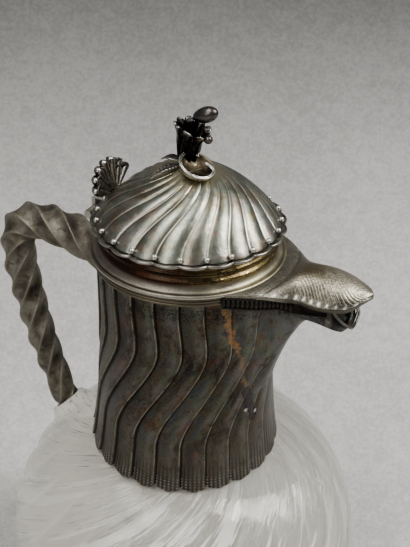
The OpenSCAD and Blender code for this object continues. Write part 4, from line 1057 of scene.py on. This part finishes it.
f = np.linspace(-1, 1, shell_ribs * 14 + 1)[None]
rib = np.abs(np.sin(np.pi * (f + 1) / 2 * shell_ribs)) ** 0.6
s = np.linspace(0.12, 1, 40)[:, None] * (1 + 0.06 * rib * np.linspace(0, 1, 40)[:, None])
over, under = shell_point(s, f, rib, 1), shell_point(s, f, rib, -1)
darker_grooves = np.broadcast_to(ease((0.62 - rib) / 0.35), over.shape[:2])
shell = skin("shell", two_faced(over, under), thumb_silver, {
    "groove": two_faced(darker_grooves, darker_grooves), "pearl": two_faced(darker_grooves, darker_grooves) * 0})
pearls = []
a, b = np.meshgrid(np.radians(np.linspace(8, 172, 12)), np.radians(np.arange(0, 360, 22.5)), indexing="ij")
for k in range(shell_ribs):
    tip = shell_point(np.array(1.0), np.array((k + 0.5) / shell_ribs * 2 - 1), np.array(0.0), 0)
    round_pearl = np.stack([np.sin(a) * np.cos(b), np.sin(a) * np.sin(b), np.cos(a)], -1) * pearl_r + tip
    pearls.append(skin(f"pearl_{k}", round_pearl, thumb_silver, {"groove": 0 * a, "pearl": 0 * a + 1}))
foot_line = np.array([[-40.3, 227.3], [-39.2, 227.7], [-37.6, 228.5], [-36.0, 229.6], [-34.6, 230.9],
                      [-33.6, 232.0]])
foot_line = through(foot_line, 5)
turn = np.radians(np.arange(0, 360, 15))
thick = thumb_foot_thick * np.sin(turn)
rows = [np.stack([p[0] - thick * d[1], w * np.cos(turn), p[1] + thick * d[0]], -1) for p, d, w in zip(
    foot_line, unit(np.gradient(foot_line, axis=0)), np.linspace(2.0, 1.6, len(foot_line)))]
fit(joined("thumb_shell", [shell] + pearls + [skin("shell_foot", rows, thumb_silver)]),
    "lid", "bright_silver", "thumbpiece")

# ---- Finial's stem, washer and nut ---------------------------------------------------------
# The stem is turned from rod with a disc that sits on the crown. Its screw passes through the
# dome and is drawn up by a washer and a nut inside the lid.

stem_silver = silver("stem_silver", (0.40, 0.31, 0.20), (0.16, 0.11, 0.07), (0.60, 0.52, 0.40), 0.18, 2)
refinish(stem_silver, "finial_stem", "finial_washer", "finial_nut")

# ---- Calyx ---------------------------------------------------------------------------------
# A curled calyx leaf lies round the front of the stem like a shallow cup, tilted to the spout.
# Its edge is rolled into a double wire that is rubbed bright.

cup_rim_r = 0.32
cup_cast = silver("cup_cast", (0.105, 0.082, 0.050), (0.030, 0.023, 0.016), (0.40, 0.36, 0.28), 0.24, 2)
cup_at = np.array([5.3, -4.9, 251.6])
look = unit(np.array([0.422, -0.140, 0.892]))
along = np.array([0.902, 0.159, -0.402])
along = unit(along - look * (along @ look))
upward = np.cross(look, along)


def in_cup(radius, degrees, depth):
    """Places in the cup's own round: out from its middle, about it, and up along the way it faces."""
    a = np.radians(degrees)[:, None]
    return cup_at + radius * (np.cos(a) * along + np.sin(a) * upward) + look * depth


turn = np.arange(0, 360, 3.0)
depths = [(0.4, -2.9), (2.2, -2.8), (4.0, -2.4), (5.4, -1.4), (6.2, -0.2), (6.6, 0.1), (6.7, -0.5),
          (6.0, -1.9), (4.6, -3.0), (2.4, -3.6), (0.4, -3.8)]
cup = skin("cup", [in_cup(r, turn, d) for r, d in depths], cup_cast)
curl = np.linspace(-250, 52, 90)
furl = 1 - 0.42 * ease((curl - 10) / 42) - 0.25 * ease((-205 - curl) / 45)
rims = [tube(f"rim_{k}", in_cup((r * furl)[:, None], curl, (d + 0.6 * (1 - furl))[:, None]), cup_rim_r,
             bead_silver, 10) for k, (r, d) in enumerate([(6.65, 0.2), (6.0, 0.05)])]
fit(cup, "lid", "cast_silver", "finial_scroll")
fit(joined("cup_rim", rims), "lid", "cast_silver")

# ---- Finial's leaves -----------------------------------------------------------------------
# Two small cast leaves lie over the crown behind the cup: a toothed sprig and a smooth curled one.
# They spring from the stem's disc, follow the dome and lift at their tips, and are dark all over.

sprig_thick = 0.6
dark_cast = silver("dark_cast", (0.10, 0.088, 0.074), (0.024, 0.020, 0.018), (0.42, 0.40, 0.36), 0.16, 3)


def dome_top(radius):
    return dome_z + dome_h * (1 - np.clip(radius / dome_r, 0, 1) ** dome_full) ** 0.9


leaves = []
for k, (way, reach, half, arch, teeth) in enumerate([(235, 15.8, 2.0, 1.3, 9), (176, 12.4, 2.2, 1.6, 0)]):
    s = np.linspace(0, 1, 70)[:, None]
    v = np.linspace(-1, 1, 21)[None]
    jag = 1 - 0.28 * (np.abs(s * teeth % 1 - 0.5) * 2 if teeth else 0 * s)
    q, w = mix(4.1, reach, s), half * np.sin(np.pi * mix(0.12, 0.97, s)) * jag * v
    c, d = math.cos(math.radians(way)), math.sin(math.radians(way))
    lift = dome_top(np.hypot(q, w)) + 1.0 + arch * np.sin(np.pi * s) * s + 0.8 * s ** 3
    fold = 0.5 * np.abs(v) * np.sin(np.pi * s)
    over = np.stack(np.broadcast_arrays(q * c - w * d, q * d + w * c, lift + fold), -1)
    leaves.append(skin(f"sprig_{k}", two_faced(over, over - [0, 0, sprig_thick]), dark_cast))
fit(joined("sprigs", leaves), "lid", "cast_silver", "finial_leaves")

# ---- Flower --------------------------------------------------------------------------------
# The flower is cast as one piece with the stem's head: long furled petals stand close round a
# hollow heart and curl out at their tips, which are rubbed grey and carry a painted highlight.
# The rest is nearly black.

flower_silver, plan = new_finish("flower_silver")
fine, cloud = plan.noise(0.8, 4, 0.7), plan.noise(2.4, 3)
tone = plan.layers((0.005, 0.004, 0.004), (plan.band(cloud, 0.55, 0.72), (0.026, 0.022, 0.020)),
                   # The grey tips are partly wear and partly a painted highlight on the flower's top.
                   (plan.band(plan.mark("tip") + (cloud - 0.5) * 0.5, 0.86, 1.0), (0.42, 0.41, 0.385)))
plan.silvered(tone, fine * 0.2 + 0.16, plan.bump(fine, 0.06))

flower_low, flower_top, petals, petal_twist, petal_wall = 250.6, 264.6, 9, 26, 0.9
around = np.arange(petals * 18) / 18


def flower_row(t, inset):
    """A ring at the share t of the flower's height, whose mouth slants down to the spout's side, and how
    near each point lies to a petal's tip."""
    a = around * 360 / petals + petal_twist * t
    pleat = 1 - np.sin(np.pi * (around % 1)) ** 0.6
    tilt = np.cos(np.radians(a))
    top = flower_top - 3.4 * np.maximum(tilt, 0) + 0.6 * np.maximum(-tilt, 0) - 1.6 * pleat * t ** 6
    r = mix(3.9, 4.7, ease(t / 0.5)) + 2.2 * ease((t - 0.60) / 0.40) * mix(0.6, 1, ease(tilt + 0.5))
    r = r + 0.5 * t ** 10 - pleat * mix(0.9, 1.3, t) - inset
    return polar(r, a, mix(flower_low, top, t)) + [mix(-0.9, 0.3, t * t), 0, 0], t * (1 - 0.4 * pleat)


made = ([flower_row(t, 0) for t in np.linspace(0, 1, 60)]
        + [flower_row(t, petal_wall) for t in np.linspace(0.995, 0.5, 24)])
rows, tips = (np.array(part) for part in zip(*made))
fit(skin("furled_flower", rows, flower_silver, {"tip": tips}), "lid", "cast_silver", "finial_flower")

# ---- Bud and its two berries ---------------------------------------------------------------
# A smooth bud lies over the flower's lip and two berries stand out under it, each cast and
# soldered on. They are dark brown, and lighter where cloths have rubbed them.

bud_finish = silver("bud_silver", (0.066, 0.056, 0.052), (0.018, 0.015, 0.015), (0.42, 0.40, 0.38), 0.17, 3)


def ball(name, centre, long, wide, lean, finish):
    """An egg with its long half-axis leaning from upright towards the spout."""
    a, b = np.meshgrid(np.radians(np.linspace(4, 176, 34)), np.radians(np.arange(0, 360, 9)), indexing="ij")
    taper = 1 + 0.12 * np.cos(a)
    x, y, z = np.sin(a) * np.cos(b) * wide * taper, np.sin(a) * np.sin(b) * wide * taper, np.cos(a) * long
    c, d = math.cos(math.radians(lean)), math.sin(math.radians(lean))
    return skin(name, np.stack([x * c + z * d, y, z * c - x * d], -1) + centre, finish)


fit(ball("bud", (5.6, 0, 268.6), 5.0, 2.85, 68, bud_finish), "lid", "cast_silver", "finial_bud")
berries = [ball(f"berry_{k}", (reach, -0.6, height), berry_r * 1.1, berry_r, 60, bud_finish)
           for k, (reach, height, berry_r) in enumerate([(6.5, 263.3, 1.15), (7.3, 259.9, 1.5)])]
fit(joined("berries", berries), "lid", "cast_silver", "finial_beads")
